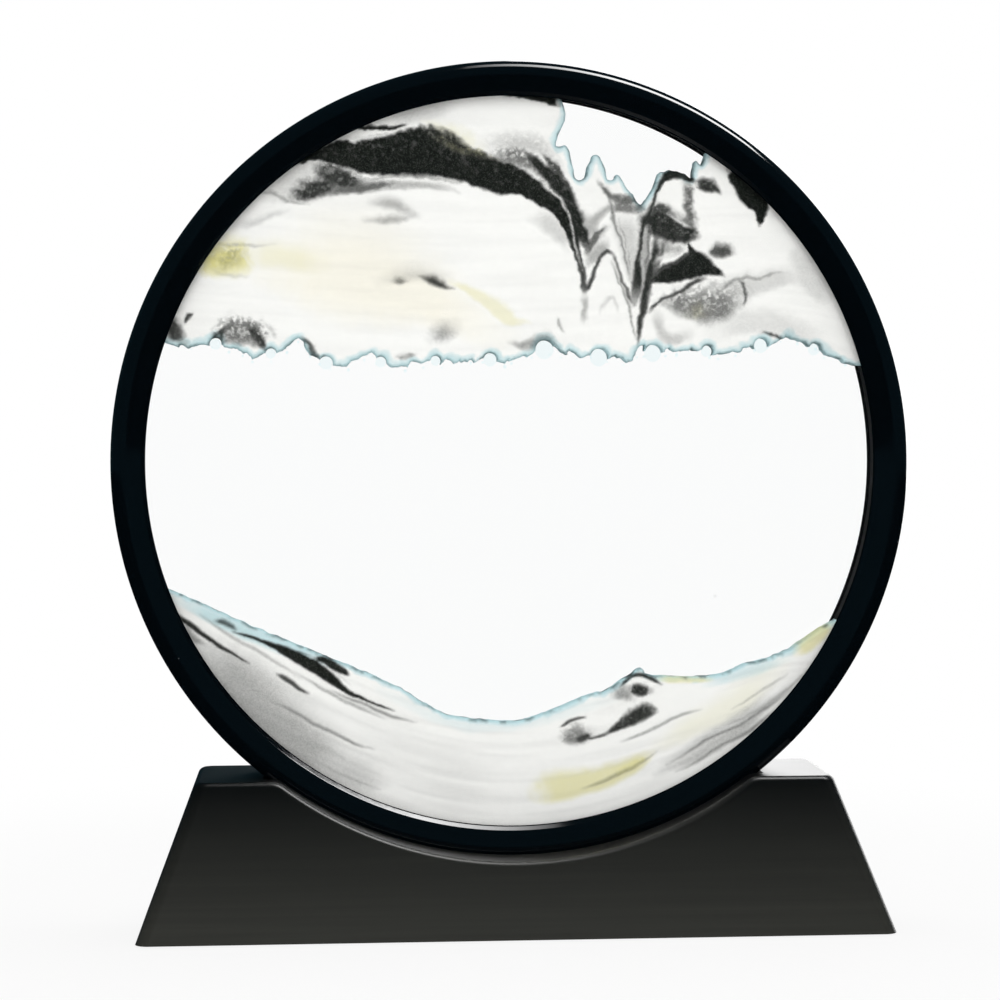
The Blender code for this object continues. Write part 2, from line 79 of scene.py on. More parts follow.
def solid(name, shape):
    mesh = bpy.data.meshes.new(name)
    bmesh.ops.recalc_face_normals(shape, faces=shape.faces)
    shape.to_mesh(mesh)
    shape.free()
    return makeObject(name, mesh)


def pointOutwards(piece):
    shape = bmesh.new()
    shape.from_mesh(piece.data)
    bmesh.ops.remove_doubles(shape, verts=shape.verts, dist=0.0001)
    bmesh.ops.recalc_face_normals(shape, faces=shape.faces)
    shape.to_mesh(piece.data)
    shape.free()
    return piece


def shadeWell(piece, sharpAbove=35):
    # smooth roundings beside faces that stay flat
    piece.data.shade_smooth()
    piece.data.set_sharp_from_angle(angle=math.radians(sharpAbove))
    weighted = piece.modifiers.new("flat faces", "WEIGHTED_NORMAL")
    weighted.keep_sharp = True
    return applyModifiers(piece)


def finishPiece(piece, body, slotName, *replaced, material=None):
    # scaled to metres, moved to its place and set on its body
    lift = middleHeight if body == "frame" else 0
    piece.data.transform(Matrix.Scale(mm, 4) @ Matrix.Translation((0, 0, lift)))
    if material:
        piece.data.materials.clear()
        piece.data.materials.append(material)
    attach(piece, body)
    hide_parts(*replaced)
    return piece


def makeBlock(name, *outlines):
    # walls from outline to outline, and a flat face at either end
    shape = bmesh.new()
    rings = [[shape.verts.new(point) for point in outline] for outline in outlines]
    count = len(rings[0])
    for near, far in zip(rings, rings[1:]):
        for step in range(count):
            after = (step + 1) % count
            shape.faces.new((near[step], near[after], far[after], far[step]))
    shape.faces.new(rings[0])
    shape.faces.new(rings[-1])
    return solid(name, shape)


def makeSlab(name, outline, half):
    # an outline seen from the front, as far in front of the middle as behind it
    return makeBlock(name, *([(x, side * half, z) for x, z in outline] for side in (-1, 1)))


def makeSpindle(name, profile, steps, centre=(0, 0, 0), axis="Z"):
    # profile: radius and height points from one flat end to the other
    rings = []
    for radius, height in profile:
        ring = []
        for step in range(steps):
            angle = 2 * math.pi * step / steps
            across, along = radius * math.cos(angle), radius * math.sin(angle)
            place = (across, height, along) if axis == "Y" else (across, along, height)
            ring.append(Vector(place) + Vector(centre))
        rings.append(ring)
    return makeBlock(name, *rings)


def rectangle(halfX, halfY, height, middleX=0):
    return [
        (middleX + sideX * halfX, sideY * halfY, height)
        for sideX, sideY in ((-1, -1), (1, -1), (1, 1), (-1, 1))
    ]


def makePoints(name, places, label, kind, values, lines=()):
    # bare points or lines, each point with a value that a tree of Geometry Nodes reads
    mesh = bpy.data.meshes.new(name)
    mesh.from_pydata(places, lines, [])
    field = "vector" if kind == "FLOAT_VECTOR" else "value"
    stored = mesh.attributes.new(label, kind, "POINT")
    stored.data.foreach_set(field, np.array(values, float).ravel())
    return makeObject(name, mesh)


def cutAway(piece, *cutters):
    for cutter in cutters:
        cut = piece.modifiers.new("cut", "BOOLEAN")
        cut.operation = "DIFFERENCE"
        cut.solver = "EXACT"
        cut.object = cutter
    applyModifiers(piece)
    for cutter in cutters:
        bpy.data.objects.remove(cutter)
    return piece


# Helpers for node trees


def addNode(tree, kind, inputs=None, **settings):
    # inputs: a value or another node's output for each named or numbered input
    node = tree.nodes.new(kind)
    for name, value in settings.items():
        setattr(node, name, value)
    for name, value in (inputs or {}).items():
        if isinstance(value, bpy.types.NodeSocket):
            tree.links.new(value, node.inputs[name])
        else:
            node.inputs[name].default_value = value
    return node


def calculate(tree, operation, *values, clamp=False):
    node = addNode(
        tree, "ShaderNodeMath", dict(enumerate(values)), operation=operation, use_clamp=clamp
    )
    return node.outputs[0]


def vectorMath(tree, operation, *values):
    return addNode(
        tree, "ShaderNodeVectorMath", dict(enumerate(values)), operation=operation
    ).outputs


def spread(tree, value, low, high, start=0.0, stop=1.0, **settings):
    # a value between start and stop moved to the range from low to high
    limits = {"From Min": start, "From Max": stop, "To Min": low, "To Max": high}
    return addNode(
        tree, "ShaderNodeMapRange", {"Value": value, **limits}, **settings
    ).outputs[0]


def noise(tree, place, scale, detail=2.0, roughness=0.5):
    return addNode(tree, "ShaderNodeTexNoise", {
        "Vector": place, "Scale": scale, "Detail": detail, "Roughness": roughness,
    }).outputs[0]


def cells(tree, place, scale):
    # for each cell the distance from its middle and a colour drawn by chance
    found = addNode(tree, "ShaderNodeTexVoronoi", {"Vector": place, "Scale": scale}).outputs
    return found["Distance"], found["Color"]


def channels(tree, colour):
    return addNode(tree, "ShaderNodeSeparateColor", {0: colour}).outputs


def partOf(tree, place, axis):
    return addNode(tree, "ShaderNodeSeparateXYZ", {0: place}).outputs[axis]


def mixColours(tree, share, low, high, blend="MIX"):
    node = addNode(tree, "ShaderNodeMix", {0: share}, data_type="RGBA", blend_type=blend)
    for index, value in ((6, low), (7, high)):
        if isinstance(value, bpy.types.NodeSocket):
            tree.links.new(value, node.inputs[index])
        else:
            node.inputs[index].default_value = (*value, 1)
    return node.outputs[2]


def mixShaders(tree, share, first, second):
    return addNode(tree, "ShaderNodeMixShader", {0: share, 1: first, 2: second}).outputs[0]


def geometryTree(name, sockets):
    tree = bpy.data.node_groups.new(name, "GeometryNodeTree")
    tree.interface.new_socket("Geometry", in_out="INPUT", socket_type="NodeSocketGeometry")
    for label, kind in sockets:
        tree.interface.new_socket(label, in_out="INPUT", socket_type="NodeSocket" + kind)
    tree.interface.new_socket("Geometry", in_out="OUTPUT", socket_type="NodeSocketGeometry")
    return tree, tree.nodes.new("NodeGroupInput").outputs


def storedValue(tree, label, kind="FLOAT"):
    return addNode(
        tree, "GeometryNodeInputNamedAttribute", {"Name": label}, data_type=kind
    ).outputs[0]


def finishTree(tree, shape, finish):
    real = addNode(tree, "GeometryNodeRealizeInstances", {0: shape})
    painted = addNode(
        tree, "GeometryNodeSetMaterial", {"Geometry": real.outputs[0], "Material": finish}
    )
    addNode(tree, "NodeGroupOutput", {0: painted.outputs[0]})
    return tree


def grow(piece, tree, values):
    # runs a tree on a piece and keeps the result as its mesh
    modifier = piece.modifiers.new(tree.name, "NODES")
    modifier.node_group = tree
    for item in tree.interface.items_tree:
        if item.in_out == "INPUT" and item.name in values:
            modifier[item.identifier] = values[item.name]
    return applyModifiers(piece)


# Shader groups that several finishes share

dustSettings = {
    "largest": 0.09,  # radius of a speck, as a share of its cell
    "strength": 0.4,  # how far a speck changes the colour
    "colour": (0.10, 0.105, 0.11),
}


def shaderGroup(name, inputs, outputs):
    tree = bpy.data.node_groups.new(name, "ShaderNodeTree")
    for label, kind, value in inputs:
        socket = tree.interface.new_socket(
            label, in_out="INPUT", socket_type="NodeSocket" + kind
        )
        if value is not None:
            socket.default_value = value
    for label in outputs:
        tree.interface.new_socket(label, in_out="OUTPUT", socket_type="NodeSocketFloat")
    return tree, tree.nodes.new("NodeGroupInput").outputs


def makeFineGrain():
    # fine even texture of a moulding, and a slow drift over the surface
    tree, given = shaderGroup(
        "fineGrain",
        (("Vector", "Vector", None), ("Scale", "Float", 2000.0), ("Drift Scale", "Float", 40.0)),
        ("Height", "Drift"),
    )
    fine = noise(tree, given["Vector"], given["Scale"], roughness=0.6)
    slow = noise(tree, given["Vector"], given["Drift Scale"], 3.0)
    addNode(tree, "NodeGroupOutput", {"Height": fine, "Drift": slow})
    return tree


def makeRestingDust():
    # sparse specks: one cell in several holds a speck, and each has its own size
    tree, given = shaderGroup(
        "restingDust",
        (("Vector", "Vector", None), ("Scale", "Float", 220.0), ("Amount", "Float", 0.3)),
        ("Mask",),
    )
    distance, colour = cells(tree, given["Vector"], given["Scale"])
    chance = channels(tree, colour)
    size = calculate(tree, "MULTIPLY", chance[1], dustSettings["largest"])
    inside = calculate(tree, "LESS_THAN", distance, size)
    chosen = calculate(tree, "LESS_THAN", chance[0], given["Amount"])
    addNode(tree, "NodeGroupOutput", {"Mask": calculate(tree, "MULTIPLY", inside, chosen)})
    return tree


fineGrain = makeFineGrain()
restingDust = makeRestingDust()


def newMaterial(name, colour, roughness=0.5):
    # a material with its shader, and the point on the object that its patterns read
    material = bpy.data.materials.new(name)
    material.use_nodes = True
    tree = material.node_tree
    shader = tree.nodes["Principled BSDF"]
    shader.inputs["Base Color"].default_value = (*colour, 1)
    shader.inputs["Roughness"].default_value = roughness
    place = addNode(tree, "ShaderNodeTexCoord").outputs["Object"]
    return material, tree, shader, place


def mouldedGrain(tree, place, scale, driftScale):
    values = {"Vector": place, "Scale": scale, "Drift Scale": driftScale}
    return addNode(tree, "ShaderNodeGroup", values, node_tree=fineGrain).outputs


def dustSpecks(tree, place, scale, amount):
    values = {"Vector": place, "Scale": scale, "Amount": amount}
    return addNode(tree, "ShaderNodeGroup", values, node_tree=restingDust).outputs["Mask"]


def dustedColour(tree, place, colour, scale, amount):
    specks = dustSpecks(tree, place, scale, amount)
    share = calculate(tree, "MULTIPLY", specks, dustSettings["strength"])
    return mixColours(tree, share, colour, dustSettings["colour"])


def feed(tree, shader, label, value):
    tree.links.new(value, shader.inputs[label])


def addBump(tree, shader, height, depth, strength=1.0):
    bump = addNode(
        tree, "ShaderNodeBump", {"Height": height, "Distance": depth, "Strength": strength}
    )
    feed(tree, shader, "Normal", bump.outputs[0])


def showSurface(tree, surface):
    tree.links.new(surface, tree.nodes["Material Output"].inputs["Surface"])


# Plastics, rubber and metal. A grain is the scale of its texture and that of its slow drift,
# dust is the scale of the specks and the share of cells that hold one, lengths are in metres

ringFinish = {
    "colour": (0.0006, 0.0016, 0.0026),
    "roughness": (0.05, 0.11),  # clean places and smudged places
    "specular": 0.9,
    "mattWithin": 0.08245,  # the wall of the window, from the middle of the disc
    "matt": 0.7,  # how much rougher that wall is
    "grain": (260.0, 28.0),
    "waves": 0.00001,  # depth of the slow waves of the moulding
    "dust": (240.0, 0.03),
}
baseFinish = {
    # painted light: the lighter colour at the foot stands in for light from the pale floor
    "foot": (0.030, 0.030, 0.025),
    "top": (0.0018, 0.0019, 0.0018),
    "paintedGlowReach": 0.034,  # height from which it is as dark as its top; below it, painted light from the floor makes it lighter towards the foot
    "streaks": (18, 18, 900),  # how fine they are across, in depth and upwards
    "streak": 0.3,  # how much the fine level streaks change the colour
    "grain": (3200.0, 22.0),
    "dust": (300.0, 0.03),
    "shell": {"roughness": (0.28, 0.37), "texture": 0.000006},
    "cover": {"roughness": (0.5, 0.6), "texture": 0.00003},
}
rubberFinish = {
    "roughness": (0.62, 0.9),
    "drift": 90.0,
    "feet": {
        "colours": ((0.012, 0.012, 0.012), (0.026, 0.026, 0.026)), "grain": 1400.0,
        "texture": 0.00005,
    },
    "seal": {
        "colours": ((0.011, 0.012, 0.012), (0.024, 0.025, 0.025)), "grain": 500.0,
        "texture": 0.00002,
    },
}
foamFinish = {
    "colours": ((0.002, 0.002, 0.003), (0.012, 0.012, 0.013)),  # deep in a pore and between; the darker one is painted shade in the pores
    "roughness": 0.95,
    "pores": 2600.0,
    "depth": 0.00008,
}
zincFinish = {
    "colours": ((0.42, 0.43, 0.44), (0.66, 0.67, 0.70)),
    "roughness": (0.24, 0.46),
    "grain": (5200.0, 420.0),
    "texture": 0.000008,
}


def glossyPlastic(look):
    # the wall of the window is left matt, so it mirrors nothing beside the picture
    material, tree, shader, place = newMaterial("glossyRingPlastic", look["colour"])
    grain = mouldedGrain(tree, place, *look["grain"])
    feed(tree, shader, "Base Color", dustedColour(tree, place, look["colour"], *look["dust"]))
    fromMiddle = vectorMath(
        tree, "MULTIPLY_ADD", place, (1, 0, 1), (0, 0, -middleHeight * mm)
    )["Vector"]
    radius = vectorMath(tree, "LENGTH", fromMiddle)["Value"]
    glossy = calculate(tree, "GREATER_THAN", radius, look["mattWithin"])
    smooth = spread(tree, grain["Drift"], *look["roughness"])
    matt = calculate(tree, "MULTIPLY", calculate(tree, "SUBTRACT", 1.0, glossy), look["matt"])
    feed(tree, shader, "Roughness", calculate(tree, "ADD", smooth, matt, clamp=True))
    specular = calculate(tree, "MULTIPLY", glossy, look["specular"])
    feed(tree, shader, "Specular IOR Level", specular)
    addBump(tree, shader, grain["Height"], look["waves"])
    return material


def satinPlastic(name, look, face):
    # painted light: lighter towards the foot as if lit from the floor, darker towards the top, with
    # fine level streaks
    material, tree, shader, place = newMaterial(name, look["top"])
    grain = mouldedGrain(tree, place, *look["grain"])
    stretched = vectorMath(tree, "MULTIPLY", place, look["streaks"])["Vector"]
    streaks = noise(tree, stretched, 1.0, 3.0, 0.6)
    # painted light from the floor, strongest at the foot
    rise = spread(tree, partOf(tree, place, "Z"), 1.0, 0.0, 0.0, look["paintedGlowReach"])
    uneven = spread(tree, streaks, -look["streak"], look["streak"])
    share = calculate(
        tree, "ADD", rise, calculate(tree, "MULTIPLY", uneven, rise), clamp=True
    )
    plain = mixColours(tree, share, look["top"], look["foot"])
    feed(tree, shader, "Base Color", dustedColour(tree, place, plain, *look["dust"]))
    feed(tree, shader, "Roughness", spread(tree, grain["Drift"], *face["roughness"]))
    addBump(tree, shader, grain["Height"], face["texture"])
    return material


def softRubber(name, look, part):
    material, tree, shader, place = newMaterial(name, part["colours"][0])
    grain = mouldedGrain(tree, place, part["grain"], look["drift"])
    feed(tree, shader, "Base Color", mixColours(tree, grain["Drift"], *part["colours"]))
    feed(tree, shader, "Roughness", spread(tree, grain["Drift"], *look["roughness"]))
    addBump(tree, shader, grain["Height"], part["texture"])
    return material


def poredFoam(look):
    material, tree, shader, place = newMaterial(
        "gasketFoam", look["colours"][1], look["roughness"]
    )
    distance = cells(tree, place, look["pores"])[0]
    # painted shade: darker deep in each pore
    feed(tree, shader, "Base Color", mixColours(tree, distance, *look["colours"]))
    addBump(tree, shader, distance, look["depth"])
    return material


def zincPlate(look):
    material, tree, shader, place = newMaterial("zincPlatedSteel", look["colours"][1])
    shader.inputs["Metallic"].default_value = 1.0
    grain = mouldedGrain(tree, place, *look["grain"])
    feed(tree, shader, "Base Color", mixColours(tree, grain["Drift"], *look["colours"]))
    feed(tree, shader, "Roughness", spread(tree, grain["Drift"], *look["roughness"]))
    addBump(tree, shader, grain["Height"], look["texture"])
    return material


# Glass, liquid and air

clearFinish = {
    "glass": {"colour": (0.998, 1.0, 0.999), "bend": 1.2, "dust": (190.0, 0.02)},
    "liquid": {"colour": (0.998, 1.0, 1.0), "bend": 1.0, "dust": (190.0, 0.01)},
    "air": {"colour": (0.90, 0.965, 0.975), "bend": 1.0, "dust": (190.0, 0.01)},
    "speckTone": 0.86,  # how much light a speck lets through
}


def clearMaterial(name, look):
    # clear for the eye; light from the lamps and light on its way from the sand pass freely
    material, tree, shader, place = newMaterial(name, look["colour"], 0.0)
    shader.inputs["Transmission Weight"].default_value = 1.0
    shader.inputs["IOR"].default_value = look["bend"]
    specks = dustSpecks(tree, place, *look["dust"])
    dimmed = tuple(clearFinish["speckTone"] * part for part in look["colour"])
    feed(tree, shader, "Base Color", mixColours(tree, specks, look["colour"], dimmed))
    path = addNode(tree, "ShaderNodeLightPath").outputs
    passing = addNode(tree, "ShaderNodeBsdfTransparent").outputs[0]
    fromSand = mixShaders(tree, path["Is Diffuse Ray"], shader.outputs[0], passing)
    showSurface(tree, mixShaders(tree, path["Is Shadow Ray"], fromSand, passing))
    return material


# Sand: the share of each colour at a point is kept in the piece's own attribute

sandFinish = {
    "white": (0.95, 0.95, 0.925),
    "shadedWhite": (0.70, 0.71, 0.69),
    "unevenness": 0.2,  # how far single white grains lean to the shaded white
    "black": (0.0045, 0.006, 0.0045),
    "glint": (0.03, 0.034, 0.028),
    "glintRarity": 3.0,
    "gold": (0.74, 0.70, 0.30),
    "ivory": (0.99, 0.955, 0.85),
    "frost": (0.52, 0.75, 0.81),
    "roughness": 0.85,
    "specular": 0.2,
    "grainScale": 4200.0,
    "grainDepth": 0.00004,
    "grainStrength": 0.6,
    "lean": 0.5,  # how far single grains lean to black or white between the two
}


def sandMaterial(look):
    material, tree, shader, place = newMaterial(
        "colouredSand", look["white"], look["roughness"]
    )
    shader.inputs["Specular IOR Level"].default_value = look["specular"]
    shares = addNode(tree, "ShaderNodeAttribute", attribute_name="sandShares").outputs
    parts = channels(tree, shares["Color"])
    distance, colour = cells(tree, place, look["grainScale"])
    chance = channels(tree, colour)
    uneven = calculate(tree, "MULTIPLY", chance[1], look["unevenness"])
    light = mixColours(tree, uneven, look["white"], look["shadedWhite"])
    for share, tint in ((parts[2], "ivory"), (shares["Alpha"], "frost")):
        veil = mixColours(tree, share, (1, 1, 1), look[tint])
        light = mixColours(tree, 1.0, light, veil, "MULTIPLY")
    light = mixColours(tree, parts[1], light, look["gold"])
    glint = calculate(tree, "POWER", chance[2], look["glintRarity"])
    dark = mixColours(tree, glint, look["black"], look["glint"])
    lean = calculate(tree, "SUBTRACT", chance[0], 0.5)
    rest = calculate(tree, "SUBTRACT", 1.0, parts[0])
    between = calculate(tree, "MULTIPLY", parts[0], rest)
    room = calculate(tree, "MULTIPLY", between, look["lean"])
    share = calculate(
        tree, "ADD", parts[0], calculate(tree, "MULTIPLY", lean, room), clamp=True
    )
    feed(tree, shader, "Base Color", mixColours(tree, share, light, dark))
    addBump(tree, shader, distance, look["grainDepth"], look["grainStrength"])
    return material


ringPlastic = glossyPlastic(ringFinish)
basePlastic = satinPlastic("satinBasePlastic", baseFinish, baseFinish["shell"])
coverPlastic = satinPlastic("coverPlastic", baseFinish, baseFinish["cover"])
footRubber = softRubber("footRubber", rubberFinish, rubberFinish["feet"])
silicone = softRubber("sealSilicone", rubberFinish, rubberFinish["seal"])
gasketFoam = poredFoam(foamFinish)
zincSteel = zincPlate(zincFinish)
clearGlass = clearMaterial("clearGlass", clearFinish["glass"])
clearLiquid = clearMaterial("clearLiquid", clearFinish["liquid"])
trappedAir = clearMaterial("trappedAir", clearFinish["air"])
colouredSand = sandMaterial(sandFinish)
print("stage: finishes made")


# Pieces that keep their CAD shape

keptFinishes = {
    "front_glass": clearGlass,
    "rear_glass": clearGlass,
    "front_gasket": gasketFoam,
    "rear_gasket": gasketFoam,
    "fill_plug": silicone,
    "base_cover": coverPlastic,
}
for name, material in keptFinishes.items():
    for place in nodes[name].material_slots:
        place.material = material


# Ring and seal: one section each, swept round a circle

ringSettings = {
    "steps": 288,
    "roundingSteps": 9,
    # radius, depth from the parting line and rounding of each corner
    "frontCorners": (
        (90, 0.15, 0.25), (90, 9.5, 3), (86.4, 9.5, 1.6), (83.2, 7.6, 0.8), (82.3, 6.6, 0.2),
        (82.3, 6, 0.1), (87.6, 6, 0), (87.6, 2.3, 0), (88.9, 2.3, 0), (88.9, 0.15, 0),
    ),
    "rearCorners": (
        (90, 0.15, 0.25), (90, 9.5, 3), (87.4, 9.5, 1.6), (84.8, 8.2, 1), (83.3, 6.5, 0.2),
        (83.3, 6, 0.1), (87.6, 6, 0), (87.6, -2, 0), (88.6, -2, 0), (88.6, 0.15, 0),
    ),
    "sealCorners": ((83.3, -2.75, 0.4), (83.3, 2.75, 0.4), (87.2, 2.75, 0.4), (87.2, -2.75, 0.4)),
}


def makeSweepTree():
    # rounds each corner of the piece's outline and sweeps it round a circle
    tree, given = geometryTree("sweptRing", (
        ("Radius", "Float"), ("Steps", "Int"), ("Rounding Steps", "Int"), ("Finish", "Material"),
    ))
    outline = addNode(tree, "GeometryNodeMeshToCurve", {0: given["Geometry"]})
    section = addNode(tree, "GeometryNodeFilletCurve", {
        "Curve": outline.outputs[0],
        "Radius": storedValue(tree, "rounding"),
        "Limit Radius": True,
    }, mode="POLY")
    tree.links.new(given["Rounding Steps"], section.inputs["Count"])
    circle = addNode(tree, "GeometryNodeCurvePrimitiveCircle", {
        "Resolution": given["Steps"], "Radius": given["Radius"],
    })
    swept = addNode(tree, "GeometryNodeCurveToMesh", {
        "Curve": circle.outputs[0], "Profile Curve": section.outputs[0],
    })
    return finishTree(tree, swept.outputs[0], given["Finish"])


def sweepRing(name, tree, side, corners, finish, slotName, node):
    # side: -1 in front of the parting line, 1 behind it
    points = [(radius - ringRadius, side * depth, 0) for radius, depth, rounding in corners]
    count = len(points)
    outline = makePoints(
        name, points, "rounding", "FLOAT", [rounding for radius, depth, rounding in corners],
        [(step, (step + 1) % count) for step in range(count)],
    )
    ring = grow(outline, tree, {
        "Radius": ringRadius,
        "Steps": ringSettings["steps"],
        "Rounding Steps": ringSettings["roundingSteps"],
        "Finish": finish,
    })
    ring.data.transform(Matrix.Rotation(math.radians(90), 4, "X"))
    shadeWell(pointOutwards(ring))
    return finishPiece(ring, "frame", slotName, node)


sweepTree = makeSweepTree()
for name, side, corners, finish, slotName, node in (
    ("frontHalfRing", -1, "frontCorners", ringPlastic, "ring_plastic", "front_ring"),
    ("rearHalfRing", 1, "rearCorners", ringPlastic, "ring_plastic", "rear_ring"),
    ("sealRing", 1, "sealCorners", silicone, "silicone", "seal_ring"),
):
    sweepRing(name, sweepTree, side, ringSettings[corners], finish, slotName, node)
print("stage: ring made")


# Noise and strokes for the sand

noiseSize = 512
noiseTable = np.random.RandomState(7).rand(noiseSize, noiseSize)
strokeSettings = {
    "splits": 3,  # lengths that each stretch between two points is split into
    "thinnest": 0.2,  # half width in millimetres
    "clumps": 1.2,  # size of the clumps that break up its edge
    "holes": 0.6,  # size of the gaps between its loose grains
    "fade": 0.35,  # length of its fading end, as a share of the whole, for softness 1
    "endTone": 0.25,  # what is left of its tone at the very end
    "roughness": 0.14,  # how far clumps move the edge of a stroke without loose grains
    "widest": 2.2,  # half width above which clumps grow no more
    "roughBelow": 0.35,  # roughness of its crisp lower side; the upper side has 1 more
    "softBelow": 0.9,  # softness of that side, and again 1 more above
    "crispest": 0.4,  # width of the sharpest edge
    "gapsFrom": (0.62, 0.2),  # noise from which gaps open, and how much less for loose grains
    "gapsBelow": 0.15,  # share of gaps at the lower side, and 1 more above
    "gapContrast": 4,
}


def latticeNoise(x, z, size, seed):
    # smooth noise from 0 to 1 with lumps of that size; each seed reads its own part of the table
    u = np.asarray(x, float) / size + 37.7 * seed
    v = np.asarray(z, float) / size + 91.3 * seed
    column, row = np.floor(u).astype(int), np.floor(v).astype(int)
    u, v = u - column, v - row
    u, v = u * u * (3 - 2 * u), v * v * (3 - 2 * v)
    corners = [
        noiseTable[(column + right) % noiseSize, (row + up) % noiseSize]
        for right, up in ((0, 0), (1, 0), (0, 1), (1, 1))
    ]
    low = corners[0] + (corners[1] - corners[0]) * u
    high = corners[2] + (corners[3] - corners[2]) * u
    return low + (high - low) * v


def fractalNoise(x, z, size, seed, layers=3):
    total, weight = 0, 1
    for layer in range(layers):
        total = total + weight * latticeNoise(x, z, size / 2 ** layer, seed + layer)
        weight /= 2
    return total / (2 - 2 * weight)


def smoothPath(points, parts):
    # a curve through the points, each stretch split into parts
    points = np.array(points, float)
    padded = np.vstack((2 * points[0] - points[1], points, 2 * points[-1] - points[-2]))
    curve = []
    for index in range(1, len(padded) - 2):
        before, start, end, after = padded[index - 1:index + 3]
        for share in np.arange(parts) / parts:
            curve.append(0.5 * (
                2 * start + (end - before) * share
                + (2 * before - 5 * start + 4 * end - after) * share ** 2
                + (3 * start - before - 3 * end + after) * share ** 3
            ))
    return np.array(curve + [points[-1]])


def spaced(curve, distance):
    # the same curve with its points an even distance apart
    steps = np.hypot(*np.diff(curve[:, :2], axis=0).T)
    run = np.concatenate(([0], np.cumsum(steps)))
    count = max(int(run[-1] / distance), 2)
    places = np.linspace(0, run[-1], count + 1)
    return np.stack([np.interp(places, run, part) for part in curve.T], axis=1)


def strokeMask(x, z, path, soft, speckle, seed):
    # how much of a stroke of sand lies at each point: crisp below, loose and grainy above, and
    # soft strokes fade towards their ends; speckle breaks them up into clumps
    centre = smoothPath(path, strokeSettings["splits"])
    reach = centre[:, 2].max() + 2
    low, high = centre.min(axis=0) - reach, centre.max(axis=0) + reach
    near = (x > low[0]) & (x < high[0]) & (z > low[1]) & (z < high[1])
    px, pz = x[near], z[near]
    outside, half = np.full(len(px), 1e3), np.ones(len(px))
    above, along = np.zeros(len(px)), np.zeros(len(px))
    run = 0
    for (ax, az, startWidth), (bx, bz, endWidth) in zip(centre, centre[1:]):
        dx, dz = bx - ax, bz - az
        share = np.clip(((px - ax) * dx + (pz - az) * dz) / (dx * dx + dz * dz), 0, 1)
        width = (startWidth + (endWidth - startWidth) * share) / 2
        width = np.maximum(width, strokeSettings["thinnest"])
        away = np.hypot(px - ax - share * dx, pz - az - share * dz) - width
        closer = away < outside
        outside[closer] = away[closer]
        half[closer] = width[closer]
        above[closer] = np.clip(0.5 + (pz - az - share * dz) / width / 2, 0, 1)[closer]
        along[closer] = (run + share * math.hypot(dx, dz))[closer]
        run += math.hypot(dx, dz)
    # the edge: clumps push it in and out, more so on the loose upper side
    clumps = fractalNoise(px, pz, strokeSettings["clumps"], seed) - 0.5
    clumps *= np.minimum(half, strokeSettings["widest"])
    clumps *= strokeSettings["roughness"] + speckle
    outside += clumps * (strokeSettings["roughBelow"] + above)
    blur = soft * half * (strokeSettings["softBelow"] + above) + strokeSettings["crispest"]
    value = np.clip(0.5 - outside / blur, 0, 1)
    value = value * value * (3 - 2 * value)
    fade = np.minimum(along, run - along) / (0.01 + strokeSettings["fade"] * soft * run)
    value *= np.clip(strokeSettings["endTone"] + fade, 0, 1)
    start, loosened = strokeSettings["gapsFrom"]
    holes = fractalNoise(px, pz, strokeSettings["holes"], seed + 4, 2) - start
    holes = np.clip((holes + loosened * speckle) * strokeSettings["gapContrast"], 0, 1)
    mask = np.zeros(len(x))
    mask[near] = value * (1 - speckle * (strokeSettings["gapsBelow"] + above) * holes)
    return mask


# Sand and liquid

sandSettings = {
    "grid": {"front": 0.34, "rear": 0.45},
    "gridUnrest": 0.2,  # how far the grid's points stray, as a share of its spacing
    "clearOfEdge": 0.6,  # room between the grid and the outline, as a share of it too
    "edgeSpacing": 0.3,
    "edgeSplits": 6,
    "edgeLumps": 2.0,  # size of the widest lumps that roughen an edge
    "edgeAside": 0.6,  # how far they move it sideways, as a share of up and down
    "edgeCalm": 12,  # points at either end over which the roughness grows
    "edgeRounding": 0.7,
    "sharpAbove": 55,  # degrees
    "relief": 0.1,  # depth of the waves in the sand's face
    "reliefSize": 2.2,
    "halfGap": 0.02,  # from the middle to the back of each half of a bed
    "bubbleGap": 0.1,
    "seed": 11,
    "veinTone": 0.13,
    "driftSizes": (6, 1.4),  # of the wide and the fine wandering of the marks
    "layerSizes": ((14, 9), (17, 20)),  # length of the faint layers and how much thinner they are
    "cloudSize": 18,
    "fibreSize": (3, 6),  # length of the fibres and how much thinner they are
    "fibres": 0.1,  # how far fine upright fibres lighten the black
    "fringeDepth": (0.3, 1.4),  # least depth, as a share of the bed's own, and what noise adds
    "fringeSize": 2.4,  # length of its deeper places
    "fringeFade": 0.6,
    "edgeShade": 0.6,  # tone of the painted shade in dark patches along the edge
    "edgeShadeSize": 2.0,
    "edgeShadeDepth": 0.5,
    "goldOverBlack": 0.45,  # how much gold lightens black sand under it
    "darkening": 2.2,  # strengthens the weak tones
}
